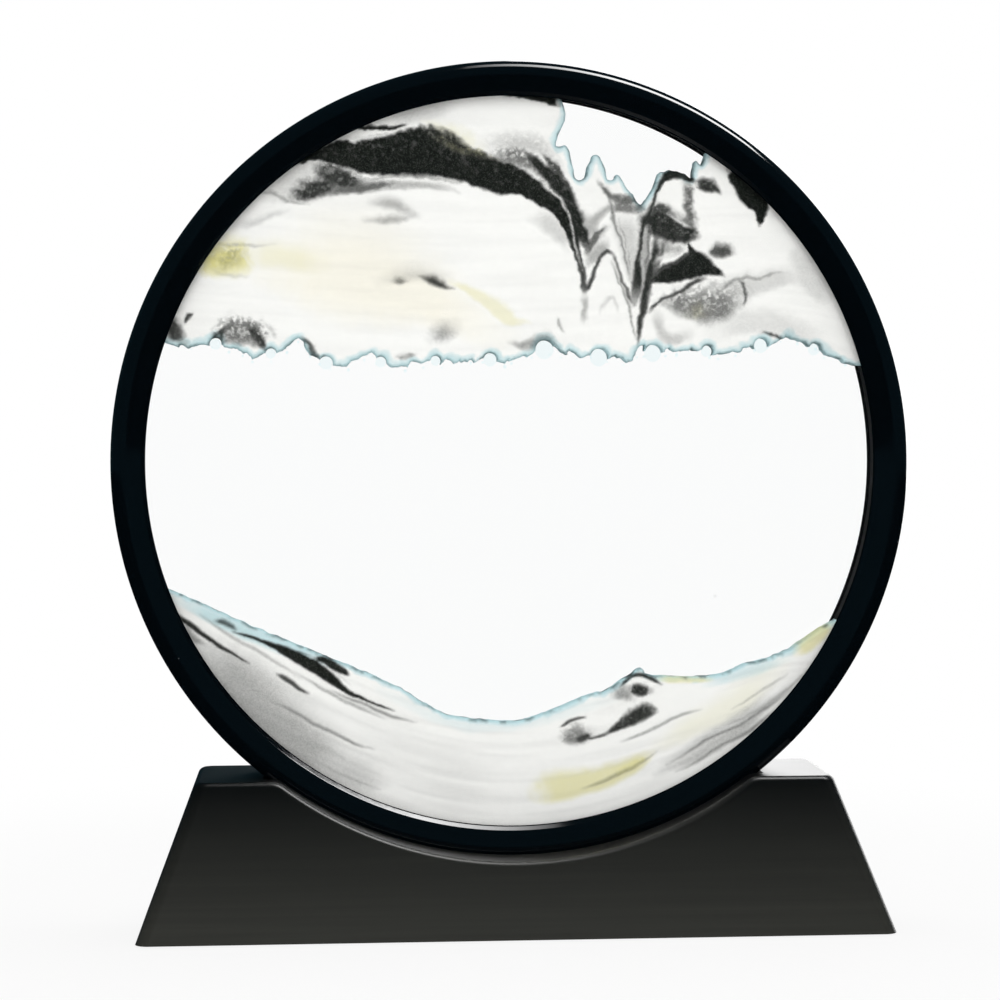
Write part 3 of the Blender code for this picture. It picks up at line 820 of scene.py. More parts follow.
# The beds, in millimetres from the middle of the disc. An edge is drawn from one angle of the
# rim to another. Each stroke: tone (1 black or full gold), softness of its edge, share of loose
# grains in it, and its way as x, z and width. A tone under veinTone lightens what it crosses.
upperBed = {
    "edge": {"ends": (161, 15), "roughness": 3.2, "seed": 3, "points": (
        (-73, 25.5), (-66.5, 26.7), (-55.5, 23.9), (-48, 27.5), (-46, 23.6), (-39, 21.3),
        (-33, 24.1), (-27, 21.3), (-21.5, 22.7), (-2, 23), (9, 25.5), (14.5, 24.1),
        (26.5, 22.7), (29, 26), (32, 24.3), (39.5, 25.5), (48.5, 24.5), (60, 26.6),
        (66, 27), (76, 22.5),
    )},
    "notch": {"ends": (57.5, 82.2), "roughness": 1.3, "seed": 9, "points": (
        (43.6, 67.4), (42.2, 68.2), (41.6, 66), (41.3, 64.2), (39.6, 65.2), (38, 65.9), (35.6, 66.2),
        (33.8, 65.2), (32.6, 62.3), (31, 59.7), (29.6, 58.4), (27.6, 60.6), (26.6, 61.9),
        (25.2, 64.4), (24.2, 64.8), (23.4, 63.8), (22, 63.9), (21.4, 66.6), (20.2, 68.8),
        (18.8, 69.2), (17.7, 66.6), (16.9, 64.3), (14.8, 64.2), (13.8, 68.4), (12.6, 71.4),
        (10.4, 71.4), (10.6, 73.4), (12.2, 77), (12.3, 80),
    )},
    "shade": 0.01,  # how grey the white sand is, and how strong its layers are
    "layers": 0.02,
    "drift": (1.5, 0.8),  # how far the marks wander, widely and finely
    "fringe": 1.4,  # depth of the pale fringe along the ragged edge
    "black": {
        "sliver at the rim": (1.0, 0.3, 0, (-1.2, 83, 0.6), (5.7, 82.4, 1.4), (9.8, 81.9, 2),
            (11, 81.4, 1.8)),
        "grey shade under the cap": (0.14, 0.9, 0, (-27.3, 76.8, 3.2), (-20.5, 79.1, 5),
            (-13.6, 80.9, 3.6)),
        "haze by the left shoulder": (0.12, 0.9, 0.25, (-55, 59.1, 2.3), (-50, 62.7, 7.7),
            (-43.6, 64.5, 9.1), (-37.5, 63.6, 5.9)),
        "cluster under the shoulder": (0.85, 0.8, 0.55, (-43.6, 66.6, 2), (-40.9, 65.2, 4.2),
            (-37.5, 63.6, 4.2), (-33.5, 62.9, 2)),
        "second cluster": (0.85, 0.8, 0.55, (-49, 59.6, 2), (-45.9, 60.9, 4.2), (-42.7, 61.8, 3.6),
            (-39.5, 62.6, 1.6)),
        "streaks behind the clusters": (0.6, 0.8, 0.1, (-42.7, 60, 0.9), (-37.5, 61.4, 2),
            (-31.8, 62.3, 2), (-25, 63, 0.7)),
        "fine lines under the band": (0.3, 0.8, 0, (-36, 63.6, 0.4), (-28, 64.3, 0.6), (-19, 64.4, 0.6),
            (-9, 62.6, 0.4)),
        "soft line under the band": (0.26, 0.9, 0, (-40, 60.2, 0.7), (-33, 61.4, 1.4), (-25, 62.5, 1.6),
            (-15.9, 62.3, 1.4), (-11.8, 60.9, 0.5)),
        "line from the ring": (0.32, 1.1, 0, (-56.8, 60.7, 0.7), (-52.7, 59.8, 0.7), (-49.5, 58.2, 0.7),
            (-45.5, 57.7, 0.5)),
        "stroke by the ring": (0.15, 1.2, 0, (-62.4, 53.4, 1.6), (-59, 54, 1.6), (-55.2, 55, 1.2),
            (-50, 56.4, 0.6)),
        "upper half of the loop": (0.28, 1.5, 0, (-32.4, 58.8, 1), (-27.7, 58.4, 2), (-24.1, 57, 1.6),
            (-21.4, 55.5, 1)),
        "lower half of the loop": (0.3, 1.5, 0, (-33.5, 54.8, 1), (-28.4, 54.5, 1.6),
            (-24.5, 55.2, 1.4), (-21.8, 56.1, 0.8)),
        "main band": (1.0, 0.16, 0.28, (-50, 67.2, 1.8), (-44, 69.4, 2.6), (-38.6, 69.5, 5),
            (-33.4, 68.9, 7), (-26.4, 69.4, 9.3), (-21.4, 69.9, 10.2), (-16.4, 69.8, 10.2),
            (-12, 68.2, 8.6), (-7, 65.9, 7.7), (-1.6, 64.1, 7.5), (2.7, 62.7, 5.5), (8, 59.8, 5),
            (11.4, 56.4, 3.9), (13.9, 51.8, 3), (15, 46.6, 1.4), (15.9, 42.7, 1.1), (16.6, 38.6, 0.7)),
        "upper strand": (0.95, 0.45, 0.3, (2.7, 70.2, 0.7), (5.7, 67.7, 2), (8.6, 65.2, 3),
            (11.4, 62, 3.2), (13.6, 58.4, 3), (15.2, 54.5, 2.7), (16.6, 50.5, 2.3), (17.5, 46.8, 0.9)),
        "strand beside it": (0.75, 0.5, 0.6, (7.7, 70, 0.7), (9.8, 67, 1.8), (12, 63.6, 1.8),
            (13.4, 60.2, 1.4)),
        "light vein": (0.12, 0.9, 0.2, (1.8, 66.8, 0.9), (5.9, 64.1, 0.9), (9.5, 60.9, 0.8),
            (12.3, 57.5, 0.6), (13.9, 53.2, 0.5), (14.8, 47.7, 0.5), (15.7, 43.6, 0.6),
            (16.6, 40.9, 0.4)),
        "mottling over the band": (0.55, 0.8, 0.9, (-4, 69.7, 2), (1, 69, 4), (6, 66.8, 3),
            (9.5, 63.7, 2)),
        "haze over the band's end": (0.2, 1.2, 0.6, (-6, 71.8, 2), (2, 72.2, 3.5), (8, 70.5, 3),
            (12, 66, 2)),
        "thin wedge on top": (0.95, 0.2, 0.1, (-36.4, 75.6, 0.7), (-31.4, 75.3, 0.9),
            (-27.3, 75.5, 0.9), (-23.4, 75.8, 0.2)),
        "wisp over the band": (0.1, 0.5, 0.2, (-41.8, 72.5, 0.9), (-39.5, 73, 1.6), (-35.9, 72.7, 0.7),
            (-31.4, 73, 0.7), (-25.9, 74.5, 0.5)),
        "first fold, right arm": (0.6, 0.5, 0.1, (17, 47.3, 1.1), (18.2, 49.3, 1.4), (19.8, 51.6, 1.1),
            (21.8, 53.2, 0.7)),
        "first fold, haze": (0.3, 0.9, 0.2, (15.9, 53.2, 1.1), (18.2, 54.1, 2), (20.9, 56.4, 1.6),
            (22.5, 57.7, 0.9), (23.6, 54.1, 0.7)),
        "fold line from the notch": (0.5, 0.9, 0, (21.6, 62, 1), (22.6, 58.6, 0.7), (23.8, 54.6, 0.6),
            (25.3, 48, 0.5), (27.6, 40, 0.6)),
        "fold line beside it": (0.35, 0.9, 0, (24.9, 55, 0.6), (26.4, 47.5, 0.5), (27.7, 41.5, 0.5)),
        "fan of the ridge": (0.6, 0.6, 0.1, (29.3, 28, 0.6), (31.1, 37.3, 1.1), (33.4, 45.2, 1.5),
            (35.6, 51.6, 1)),
        "second fold, left arm": (0.75, 0.4, 0, (15, 45, 0.5), (15.7, 41.4, 0.7), (16.6, 38.9, 1.1)),
        "second fold, right arm": (0.75, 0.4, 0, (16.6, 38.4, 1.1), (18.3, 42, 0.9), (19.8, 45.7, 0.8),
            (21.4, 47.5, 0.7), (23, 46.8, 0.7)),
        "right arm runs down": (0.6, 0.5, 0, (23, 47, 0.7), (24.1, 43.4, 0.6), (25.7, 39.3, 0.7),
            (27.5, 35.5, 0.9)),
        "fold's foot": (0.28, 0.9, 0, (16.8, 37.7, 1.4), (17, 35, 1.4), (16.8, 31.8, 0.7)),
        "outer line beside it": (0.4, 0.6, 0, (22.7, 45, 0.3), (24.3, 40.5, 0.3), (26.4, 35.7, 0.5),
            (27.7, 31.4, 0.5), (28.6, 27.7, 0.5)),
        "grey between the folds": (0.17, 0.7, 0, (25.9, 55.9, 4.5), (26.6, 50, 4.5), (27.5, 44.1, 3.2),
            (28, 38.6, 1.1)),
        "grey patch over it": (0.5, 0.5, 0.7, (23, 57.3, 1.1), (25.5, 58, 2.7), (28.2, 58.4, 3.4),
            (29.8, 56.4, 1.8)),
        "first line of the ridge": (0.9, 0.5, 0.05, (28, 35.7, 1.1), (28.4, 38.6, 2.3),
            (29.1, 44.1, 1.4), (29.8, 50, 1.1), (30.9, 55.2, 1.1), (33.4, 60.9, 0.9), (35, 64.5, 1.1),
            (37.3, 65.7, 1.4), (40.2, 65, 0.9)),
        "white line inside it": (0.03, 0.4, 0, (29.5, 45, 0.5), (30.7, 51.8, 0.7), (31.8, 55.9, 0.7),
            (34.1, 60.9, 0.7), (35.5, 63.2, 0.5)),
        "second line of the ridge": (0.86, 0.6, 0.1, (33, 51.8, 1.1), (32.7, 47.3, 1.1),
            (31.4, 41.8, 1.6), (30.2, 36.4, 1.4), (29.5, 31.4, 0.9), (28.9, 26.1, 0.5)),
        "dark mass": (0.9, 0.5, 0.35, (30.9, 52.7, 3.4), (33.4, 54.4, 6.6), (36.4, 53, 6.2),
            (39.3, 51.8, 4.4), (42.5, 51.1, 1.2)),
        "light through the mass": (0.1, 1.0, 0.3, (35.5, 56.6, 0.5), (38.2, 54.6, 0.7),
            (41.4, 52.6, 0.5)),
        "mass, upper part": (0.75, 0.5, 0.8, (31.8, 55.9, 1.4), (33.9, 57.7, 2.3), (35.9, 56.1, 1.8)),
        "dark crest": (0.93, 0.35, 0.3, (34.5, 64.5, 1.6), (36.8, 65.2, 2.3), (39.5, 64.8, 2),
            (42, 63.4, 0.7)),
        "mottled column": (0.6, 0.7, 0.8, (40, 63.4, 1.8), (40.9, 60, 2), (40.5, 56.8, 1.8),
            (41.4, 53.6, 2.3)),
        "blob beside the crest": (0.85, 0.6, 0.3, (42.5, 62.7, 1.1), (44.3, 62.7, 2.7),
            (46.8, 61.8, 1.6), (48.2, 60.9, 0.7)),
        "grey round the ridge": (0.35, 0.8, 0.3, (31.8, 49.5, 0.9), (34.3, 48.6, 2.3), (36.8, 47.7, 2),
            (39.5, 48.6, 0.9)),
        "grey inside the ridge": (0.3, 1.0, 0.1, (30.6, 56, 1), (30.4, 50, 2.2), (30.2, 43, 2.4),
            (29.6, 36, 1.2)),
        "strand inside the ridge": (0.55, 0.9, 0.1, (31.6, 53.6, 0.4), (31.2, 48, 0.7),
            (30.6, 42, 0.5)),
        "dark wave by the notch": (0.62, 0.8, 0.4, (19.8, 63.4, 0.6), (22.4, 60, 1.2),
            (25.6, 59.6, 1.8), (28.6, 60, 1.4)),
        "haze over the first fold": (0.3, 1.2, 0.2, (14.6, 58, 1.6), (17, 53.6, 3), (19.6, 51.6, 2.4),
            (22.6, 53.4, 1.2)),
        "dark triangle": (0.97, 0.3, 0.05, (31.8, 40.4, 0.8), (36, 42.4, 3.4), (39.6, 43.8, 5),
            (42.3, 44.6, 5.8), (44.8, 43.6, 3.6), (49, 41.9, 0.5)),
        "triangle's peak": (0.95, 0.25, 0.05, (40.6, 49.8, 0.3), (41.3, 47.6, 1.6), (42.3, 45.6, 3.4)),
        "line on its flank": (0.8, 0.5, 0.1, (32.3, 41.8, 0.7), (35, 43.9, 0.9), (38, 45.7, 0.7),
            (40.7, 47.7, 0.5)),
        "light flank": (0.1, 1.0, 0.2, (32.6, 44.6, 0.9), (35.4, 46.6, 1.2), (38.4, 47.6, 0.9)),
        "line under the triangle": (0.75, 0.4, 0.1, (31.4, 33.6, 0.7), (33.2, 35.9, 0.7),
            (35.9, 37.3, 0.7), (39.1, 38.9, 0.9), (42.3, 40.7, 1.1), (44.8, 41.1, 0.7)),
        "small blob": (0.72, 0.9, 0.3, (45.9, 48.2, 1.1), (47.5, 47.5, 3), (49.3, 47.7, 2.5),
            (50.9, 47.3, 0.7)),
        "wedge at the ring": (1.0, 0.15, 0.12, (50.5, 66.4, 3.2), (53.4, 63.6, 5.9), (55.5, 60.7, 6.4),
            (56.8, 57.5, 4.1), (56.6, 53.6, 0.7)),
        "grey wedge on the right": (0.11, 0.8, 0.2, (66.1, 49.1, 1.8), (66.8, 45, 5), (69.3, 40.9, 5.9),
            (72.3, 37.7, 4.1), (74.1, 36.8, 1.4)),
        "grey slope": (0.14, 0.8, 0.2, (47.3, 38.2, 1.8), (51.1, 39.5, 4.1), (56.8, 40.5, 4.1),
            (62.5, 41.4, 3.6), (65.9, 40.5, 2.3)),
        "slope's edge": (0.35, 0.6, 0.2, (46.8, 37.7, 0.5), (49.5, 39.8, 0.7), (52.7, 41.4, 0.7),
            (56.8, 41.8, 0.5), (62.3, 42.5, 0.5)),
        "low grey mound": (0.1, 0.7, 0.2, (46.8, 29.5, 5), (53.4, 31.4, 5.5), (59.1, 31.4, 5.9),
            (64.8, 28.6, 5.9), (71.6, 25.5, 4.1)),
        "speckled patch": (0.5, 0.9, 0.75, (33.5, 36.4, 1.6), (38.5, 36, 5), (43.2, 35.3, 7),
            (47.6, 35.4, 6.4), (53, 37.6, 4)),
        "vertical haze under the ridge": (0.2, 0.9, 0.2, (33.2, 33.6, 1.6), (34.1, 29.5, 2),
            (36.8, 27.3, 2.3), (40.9, 28.6, 2)),
        "dark stroke": (0.65, 0.5, 0.3, (52.7, 41.1, 0.5), (53.6, 39.3, 0.6), (53.9, 37.3, 0.5),
            (53.6, 35.5, 0.5)),
        "specks near the edge": (0.75, 0.6, 0.6, (57.7, 29.1, 0.5), (59.5, 28.4, 0.7),
            (62.3, 27.5, 0.7)),
        "line over the gold": (0.2, 1.2, 0.3, (-66, 49, 0.8), (-60, 48.9, 0.6), (-53, 49.3, 0.4)),
        "mottling in the gold": (0.3, 1.0, 0.9, (-66, 43.4, 2), (-63, 46, 4), (-60.4, 47, 2.4)),
        "line under the gold": (0.14, 1.2, 0.3, (-68, 43.5, 0.8), (-64, 41.6, 0.8), (-59.5, 41.8, 0.6)),
        "spindle": (0.8, 1.2, 0, (-21.2, 42, 0.8), (-18.4, 40.9, 1.9), (-16.4, 40.1, 1.5),
            (-13.2, 39.2, 0.5)),
        "haze over the spindle": (0.14, 1.6, 0, (-30, 40.5, 2), (-22, 42.4, 3), (-14, 41.6, 2)),
        "spindle's neighbour": (0.5, 1.4, 0, (-26.8, 40.7, 0.7), (-25, 40.7, 1.4), (-23.2, 40.7, 0.5)),
        "soft blob": (0.32, 1.4, 0, (-18.5, 27.2, 1.4), (-15.5, 28.9, 3.4), (-13.2, 30.4, 2.6)),
        "ticks by the edge": (0.35, 0.9, 0.4, (-0.5, 26.4, 0.9), (3.4, 25.9, 1.8), (8, 27.7, 2.3),
            (10.5, 25.9, 1.1)),
        "small spindle": (0.3, 0.8, 0, (10.5, 32.3, 0.5), (11.1, 30.9, 0.9), (11.8, 29.3, 0.5)),
        "haze under the strand": (0.16, 1.0, 0, (4.5, 54.5, 1.8), (8, 53.6, 3.6), (11.4, 50.9, 3.2),
            (12.7, 47.7, 1.1)),
        "curve in the fold": (0.14, 0.8, 0, (20.5, 33.6, 0.5), (21.4, 36.4, 0.7), (23, 36.8, 0.7),
            (24.1, 33.6, 0.5)),
        "speck by the rim": (0.8, 0.6, 0.2, (-73.6, 31.4, 0.5), (-73, 32.3, 0.9), (-72, 33.2, 0.5)),
        "edge of the rim": (0.75, 0.7, 0.4, (-77.6, 32.6, 1.6), (-75.8, 29.8, 3), (-74.2, 26.8, 2)),
        "mound": (0.55, 0.7, 0.9, (-68.2, 25.9, 1.4), (-65.5, 28.2, 3.2), (-61.8, 29.5, 5.5),
            (-58.2, 28.6, 5), (-55.9, 25.5, 1.8)),
        "mound's left flank": (0.8, 0.7, 0.8, (-68.6, 25.9, 0.7), (-66.4, 28.2, 1.4),
            (-63.6, 30.5, 1.1)),
        "mound's right flank": (0.85, 0.7, 0.7, (-59.1, 30.5, 1.1), (-57.3, 27.7, 2),
            (-55.5, 24.5, 1.1)),
        "dark flank": (0.65, 0.6, 0.3, (-47.5, 28.4, 0.5), (-45.9, 27, 1.1), (-44.8, 25, 1.4),
            (-43.4, 22.7, 0.9)),
        "dots beside the mound": (0.22, 0.8, 0.8, (-55.9, 31.4, 0.7), (-54.1, 30, 0.9),
            (-53.2, 27.7, 0.7)),
        "edge stain 1": (0.4, 0.9, 0.6, (-25.9, 23.4, 0.7), (-23.9, 23.6, 1.4), (-21.8, 24.1, 0.5)),
        "grey in the fold": (0.3, 1.0, 0.1, (16.8, 44, 1), (19.2, 47, 2.8), (21.6, 49.8, 1.6)),
    },
    "gold": {
        "patch by the ring": (0.9, 0.9, 0.35, (-71, 43.6, 3), (-67.4, 45.2, 6.6), (-63, 46, 8),
            (-58.6, 46.8, 4)),
        "core of the patch": (1.0, 0.8, 0.5, (-69.6, 44.4, 2.4), (-65.6, 45.4, 4.6),
            (-61.6, 46.2, 2.6)),
        "patch, pale tail": (0.3, 1.0, 0.1, (-59.1, 47.7, 4.5), (-52.3, 46.4, 5.5), (-43.2, 45, 4.5)),
        "gold in the band": (0.6, 0.9, 0.9, (-20, 74.4, 1.4), (-14.8, 72.4, 2.3), (-12.1, 71, 2.3),
            (-6.8, 69.4, 1.6), (-2.5, 68.2, 0.9)),
        "gold haze over the band": (0.3, 0.9, 0.5, (-19.3, 76.4, 1.8), (-13.6, 74.1, 3.6),
            (-6.8, 70.9, 2.7)),
        "streak": (0.42, 0.6, 0.05, (-14.1, 40.7, 0.7), (-10.5, 39.1, 1.6), (-6.8, 37, 2.5),
            (-2.7, 34.3, 3), (0.5, 31.4, 2), (4.1, 30.9, 0.7)),
        "tint in the speckled patch": (0.3, 0.9, 0.4, (40.9, 33.6, 3.2), (44.5, 34.5, 3.2)),
    },
    "ivory": {
        "ivory field": (0.8, 1.0, 0, (-59.1, 45, 7.7), (-47.7, 43.6, 13.6), (-34.1, 42.7, 20.5),
            (-18.2, 36.4, 11.4), (-2.3, 28.4, 6.8)),
    },
    "frost": {
        "beside the notch": (0.8, 0.7, 0.1, (12.4, 80, 1), (12, 76, 2.6), (10.4, 72.4, 1.6)),
        "left end": (0.7, 0.8, 0.3, (-76, 27.5, 1.6), (-70, 26, 2.4), (-62, 24.8, 1.6)),
    },
}
lowerBed = {
    "edge": {"ends": (200, 333.8), "roughness": 0.7, "seed": 5, "points": (
        (-70, -32), (-58.5, -37.3), (-45, -43), (-39, -45.4), (-26.6, -50.9), (-15, -57.5),
        (-2.3, -59.1), (4, -58.8), (17.5, -53.4), (22, -52.3), (29, -47.7), (32, -49.2),
        (46, -49.4), (53, -47), (62, -44.2), (69.3, -39.8),
    )},
    "shade": 0.0,
    "layers": 0.05,
    "drift": (0.9, 0.25),
    "fringe": 1.1,
    "black": {
        "grey of the left slope": (0.3, 0.9, 0.1, (-71.4, -40.9, 6.8), (-62.3, -50, 11.4),
            (-50, -61.4, 13.6), (-36.4, -70.9, 11.4)),
        "darker low slope": (0.19, 1.0, 0.35, (-51.8, -58.2, 4.5), (-45.5, -64.1, 9.1),
            (-37.5, -68.6, 7.7), (-29.5, -72.7, 3.2)),
        "grey of the far slope": (0.04, 1.0, 0.1, (-47.7, -52.3, 11.4), (-29.5, -61.4, 15.9),
            (-11.4, -70.5, 15.9), (2.3, -75, 9.1)),
        "line from the rim": (0.92, 0.4, 0.05, (-75.9, -34.3, 0.9), (-72.7, -36.6, 1),
            (-68.6, -39.5, 0.8), (-64.1, -42.7, 0.6), (-59.5, -45.7, 0.2)),
        "haze under it": (0.35, 0.9, 0, (-74.1, -36.4, 0.7), (-72.3, -39.1, 1.4), (-69.5, -40.9, 0.7)),
        "spot near the top": (0.6, 0.7, 0.2, (-67, -35.5, 0.7), (-65, -35.9, 1.1), (-62.3, -37.5, 0.7)),
        "long streak": (0.97, 0.25, 0.1, (-63.2, -38, 0.3), (-59.1, -39.5, 0.6), (-55.5, -41.1, 0.9),
            (-51.8, -42.7, 1.8), (-48, -44.5, 2.7), (-44.1, -46.6, 2.7), (-40.7, -49.1, 2),
            (-37.3, -51.8, 1), (-32.7, -54.3, 0.5), (-26.8, -56.1, 0.2)),
        "vein over the streak": (0.1, 0.5, 0, (-47.7, -43.4, 0.5), (-43.6, -45.2, 0.6),
            (-40, -47.7, 0.5), (-36.4, -50.5, 0.2)),
        "dark cap": (0.97, 0.3, 0.2, (-44.3, -44.8, 0.9), (-42, -45, 1.6), (-39.8, -46.4, 1.8),
            (-37, -48.2, 0.7)),
        "short streak": (0.75, 0.5, 0.1, (-53.2, -48, 0.5), (-50.5, -49.3, 0.9), (-48, -51.1, 0.8),
            (-45.9, -52.3, 0.2)),
        "grey line": (0.42, 0.7, 0.1, (-54.5, -54.1, 0.5), (-47.7, -57.5, 0.8), (-41.4, -60.9, 0.7),
            (-35.5, -63.9, 0.6), (-31.4, -65.2, 0.2)),
        "tail of the streak": (0.4, 0.9, 0, (-41, -51.5, 0.4), (-34, -54.8, 0.6), (-28, -57.2, 0.6),
            (-22, -59, 0.4)),
        "line below the streak": (0.3, 0.9, 0, (-49, -47.6, 0.4), (-42, -51.6, 0.6), (-35, -55.6, 0.6),
            (-29, -58, 0.4)),
        "low line": (0.3, 0.9, 0.1, (-62, -51, 0.4), (-54, -57, 0.6), (-46, -62.6, 0.7),
            (-38, -67, 0.5)),
        "lowest line": (0.28, 0.9, 0.1, (-52, -61.8, 0.4), (-45, -67, 0.6), (-37, -71.6, 0.6),
            (-30, -74.2, 0.4)),
        "upper grey line": (0.25, 0.8, 0, (-70.5, -34.1, 0.5), (-63.6, -39.1, 0.7), (-56.4, -43.6, 0.7),
            (-47.7, -48.9, 0.5)),
        "arch of the mound": (0.8, 0.45, 0.1, (24.3, -51.6, 0.5), (27.3, -49.3, 0.8),
            (29.5, -48.9, 0.9), (31.8, -49.8, 0.9), (33.9, -51.1, 0.5)),
        "heart of the mound": (0.9, 0.6, 0.3, (27, -52, 1.4), (29.1, -52.5, 2.5), (31.4, -52.7, 1.6)),
        "side of the mound": (0.35, 0.9, 0.4, (22.7, -53.2, 1.4), (25.5, -53, 2.7), (27.7, -54.1, 1.4)),
        "drop": (0.85, 0.5, 0.3, (20.9, -62.5, 0.5), (23.2, -60.9, 1.4), (26.1, -59.1, 2.5),
            (29.1, -57.5, 3.4), (31.4, -57, 2.5), (33, -57.3, 0.7)),
        "small blob": (0.45, 0.8, 0.5, (11.4, -62.7, 1.4), (14.1, -62.5, 4.1), (16.8, -62, 3.2)),
        "heart of the blob": (0.8, 0.6, 0.3, (14.5, -63.9, 0.9), (15.9, -63.2, 1.4),
            (17.7, -62.3, 0.7)),
        "line over the blob": (0.75, 0.5, 0.1, (10.9, -60.5, 0.3), (13.2, -59.3, 0.7),
            (16.8, -58.4, 0.3)),
        "link to the drop": (0.65, 0.5, 0.2, (16.8, -63.2, 0.5), (19.1, -63, 0.6), (21.4, -62.3, 0.7)),
        "line past the drop": (0.32, 0.7, 0, (24.5, -63.9, 0.5), (31.8, -61.1, 0.6), (38.6, -58.2, 0.6),
            (43.2, -56.8, 0.3)),
        "fine line by the rim": (0.42, 0.8, 0.1, (35.3, -69.4, 0.5), (43.9, -64.2, 0.8),
            (51.4, -60.8, 0.8), (59.4, -56, 0.7), (64, -52.4, 0.5)),
        "outer line by the rim": (0.38, 0.8, 0.1, (37.4, -71, 0.5), (46, -66.3, 0.8), (54, -61.9, 0.8),
            (60.6, -57.2, 0.5)),
        "inner line by the rim": (0.3, 0.9, 0.1, (46, -61.8, 0.5), (56.7, -57, 0.7), (62.4, -53, 0.6),
            (67.5, -48.2, 0.4)),
        "short line over it": (0.25, 0.9, 0.1, (50, -56.8, 0.4), (57, -53, 0.5), (63, -49, 0.4)),
        "grey along the rim": (0.22, 1.1, 0.2, (32.3, -71.8, 1.1), (41.4, -67.5, 2.5), (49.5, -63, 3),
            (57.5, -56.6, 2), (63.6, -51.4, 0.9)),
        "second grey along it": (0.16, 1.1, 0.1, (34.1, -69.1, 0.9), (43.2, -64.1, 1.8),
            (52.3, -58.2, 1.8), (60.2, -51.8, 1.1)),
        "line in the gold": (0.35, 0.7, 0.1, (15.5, -74.8, 0.5), (21.4, -72.7, 0.7), (27.3, -70, 0.7),
            (33, -66.4, 0.3)),
    },
    "gold": {
        "bank": (0.7, 0.55, 0.15, (5.5, -75.8, 4.2), (8.6, -74.6, 6.4), (14.1, -73.6, 5.8),
            (20.5, -72.2, 4.8), (26.8, -69.6, 4), (31.8, -66.6, 2)),
        "bank's bright end": (0.85, 0.6, 0.3, (22.7, -71.8, 1.8), (27.3, -69.3, 2.3),
            (30.7, -67.5, 1.1)),
        "haze past the bank": (0.22, 1.0, 0.1, (31.8, -65.9, 2.7), (40.9, -60.9, 4.5),
            (52.3, -54.5, 5.5), (61.4, -47.3, 4.1)),
        "tint beside the mound": (0.6, 0.7, 0.1, (33, -49.8, 0.9), (36.8, -50, 1.6), (41.4, -50, 1.1),
            (45.9, -49.8, 0.7)),
        "tip at the rim": (0.7, 0.7, 0.1, (65, -44.3, 1.8), (67.7, -42.3, 3.2), (70.5, -40, 3.2),
            (73.2, -37.7, 1.8)),
    },
    "ivory": {},
    "frost": {
        "left slope": (0.8, 0.7, 0.15, (-76, -30.8, 2), (-66, -35.2, 3.4), (-57, -39.3, 4.2),
            (-48, -43, 3.6), (-40.5, -46, 1.6)),
        "right slope": (0.55, 0.9, 0.2, (44, -51, 1.6), (54, -48, 3.4), (63, -45, 2.6)),
        "hollow": (0.3, 1.2, 0.2, (-30, -51.5, 2), (-10, -60, 3), (12, -57, 3), (24, -53.5, 2)),
    },
}


def rimPoint(angle, radius=cavityRadius):
    turn = math.radians(angle)
    return radius * math.cos(turn), radius * math.sin(turn)


def rimArc(start, end, radius=cavityRadius):
    count = max(int(math.radians(end - start) * radius / sandSettings["edgeSpacing"]), 2)
    return [rimPoint(start + (end - start) * step / count, radius) for step in range(count + 1)]


def raggedEdge(edge):
    # an edge through the listed points between two points on the rim, roughened except at its ends
    start, end = (rimPoint(angle) for angle in edge["ends"])
    smooth = smoothPath([start, *edge["points"], end], sandSettings["edgeSplits"])
    x, z = spaced(smooth, sandSettings["edgeSpacing"]).T
    fromEnd = np.minimum(np.arange(len(x)), np.arange(len(x))[::-1])
    fade = np.clip(fromEnd / sandSettings["edgeCalm"], 0, 1)
    aside, up = (
        (fractalNoise(x, z, sandSettings["edgeLumps"], edge["seed"] + shift, 4) - 0.5)
        * edge["roughness"] * fade
        for shift in (0, 20)
    )
    return np.stack((x + aside * sandSettings["edgeAside"], z + up), axis=1)


def besideBubbles(curve, side):
    # takes the edge round each bubble: side 1 over it, side -1 under it
    points = [tuple(point) for point in curve]
    for centreX, centreZ, radius in heldBubbles:
        reach = radius + sandSettings["bubbleGap"]
        inside = [
            index for index, point in enumerate(points)
            if math.dist(point, (centreX, centreZ)) < reach
        ]
        if not inside:
            continue
        first, last = points[inside[0] - 1], points[inside[-1] + 1]
        start = math.atan2(first[1] - centreZ, first[0] - centreX) % (2 * math.pi)
        end = math.atan2(last[1] - centreZ, last[0] - centreX)
        end += 2 * math.pi if side < 0 else 0
        count = max(int(abs(end - start) * reach / sandSettings["edgeSpacing"]), 3)
        arc = [
            (centreX + reach * math.cos(angle), centreZ + reach * math.sin(angle))
            for angle in np.linspace(start, end, count)
        ]
        points[inside[0]:inside[-1] + 1] = arc
    return points


def findBubbles():
    # middle and radius of each CAD bubble, from the middle of the disc
    found = []
    for name in sorted(nodes):
        if name.startswith("air_bubble"):
            low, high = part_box(name)
            found.append((
                (low.x + high.x) / 2 / mm,
                (low.z + high.z) / 2 / mm - middleHeight,
                (high.x - low.x) / 2 / mm,
            ))
    return found


heldBubbles = findBubbles()
upperEdge = raggedEdge(upperBed["edge"])
lowerEdge = raggedEdge(lowerBed["edge"])
notchEdge = raggedEdge(upperBed["notch"])
overBubbles = besideBubbles(upperEdge, 1)[1:-1]
underBubbles = besideBubbles(upperEdge, -1)[1:-1]
left, right = upperBed["edge"]["ends"]
notchRight, notchLeft = upperBed["notch"]["ends"]
lowerLeft, lowerRight = lowerBed["edge"]["ends"]
upperOutline = (
    rimArc(notchLeft, left) + overBubbles + rimArc(right, notchRight)
    + [tuple(point) for point in notchEdge[1:-1]]
)
lowerOutline = rimArc(lowerLeft, lowerRight) + [tuple(point) for point in lowerEdge[-2:0:-1]]


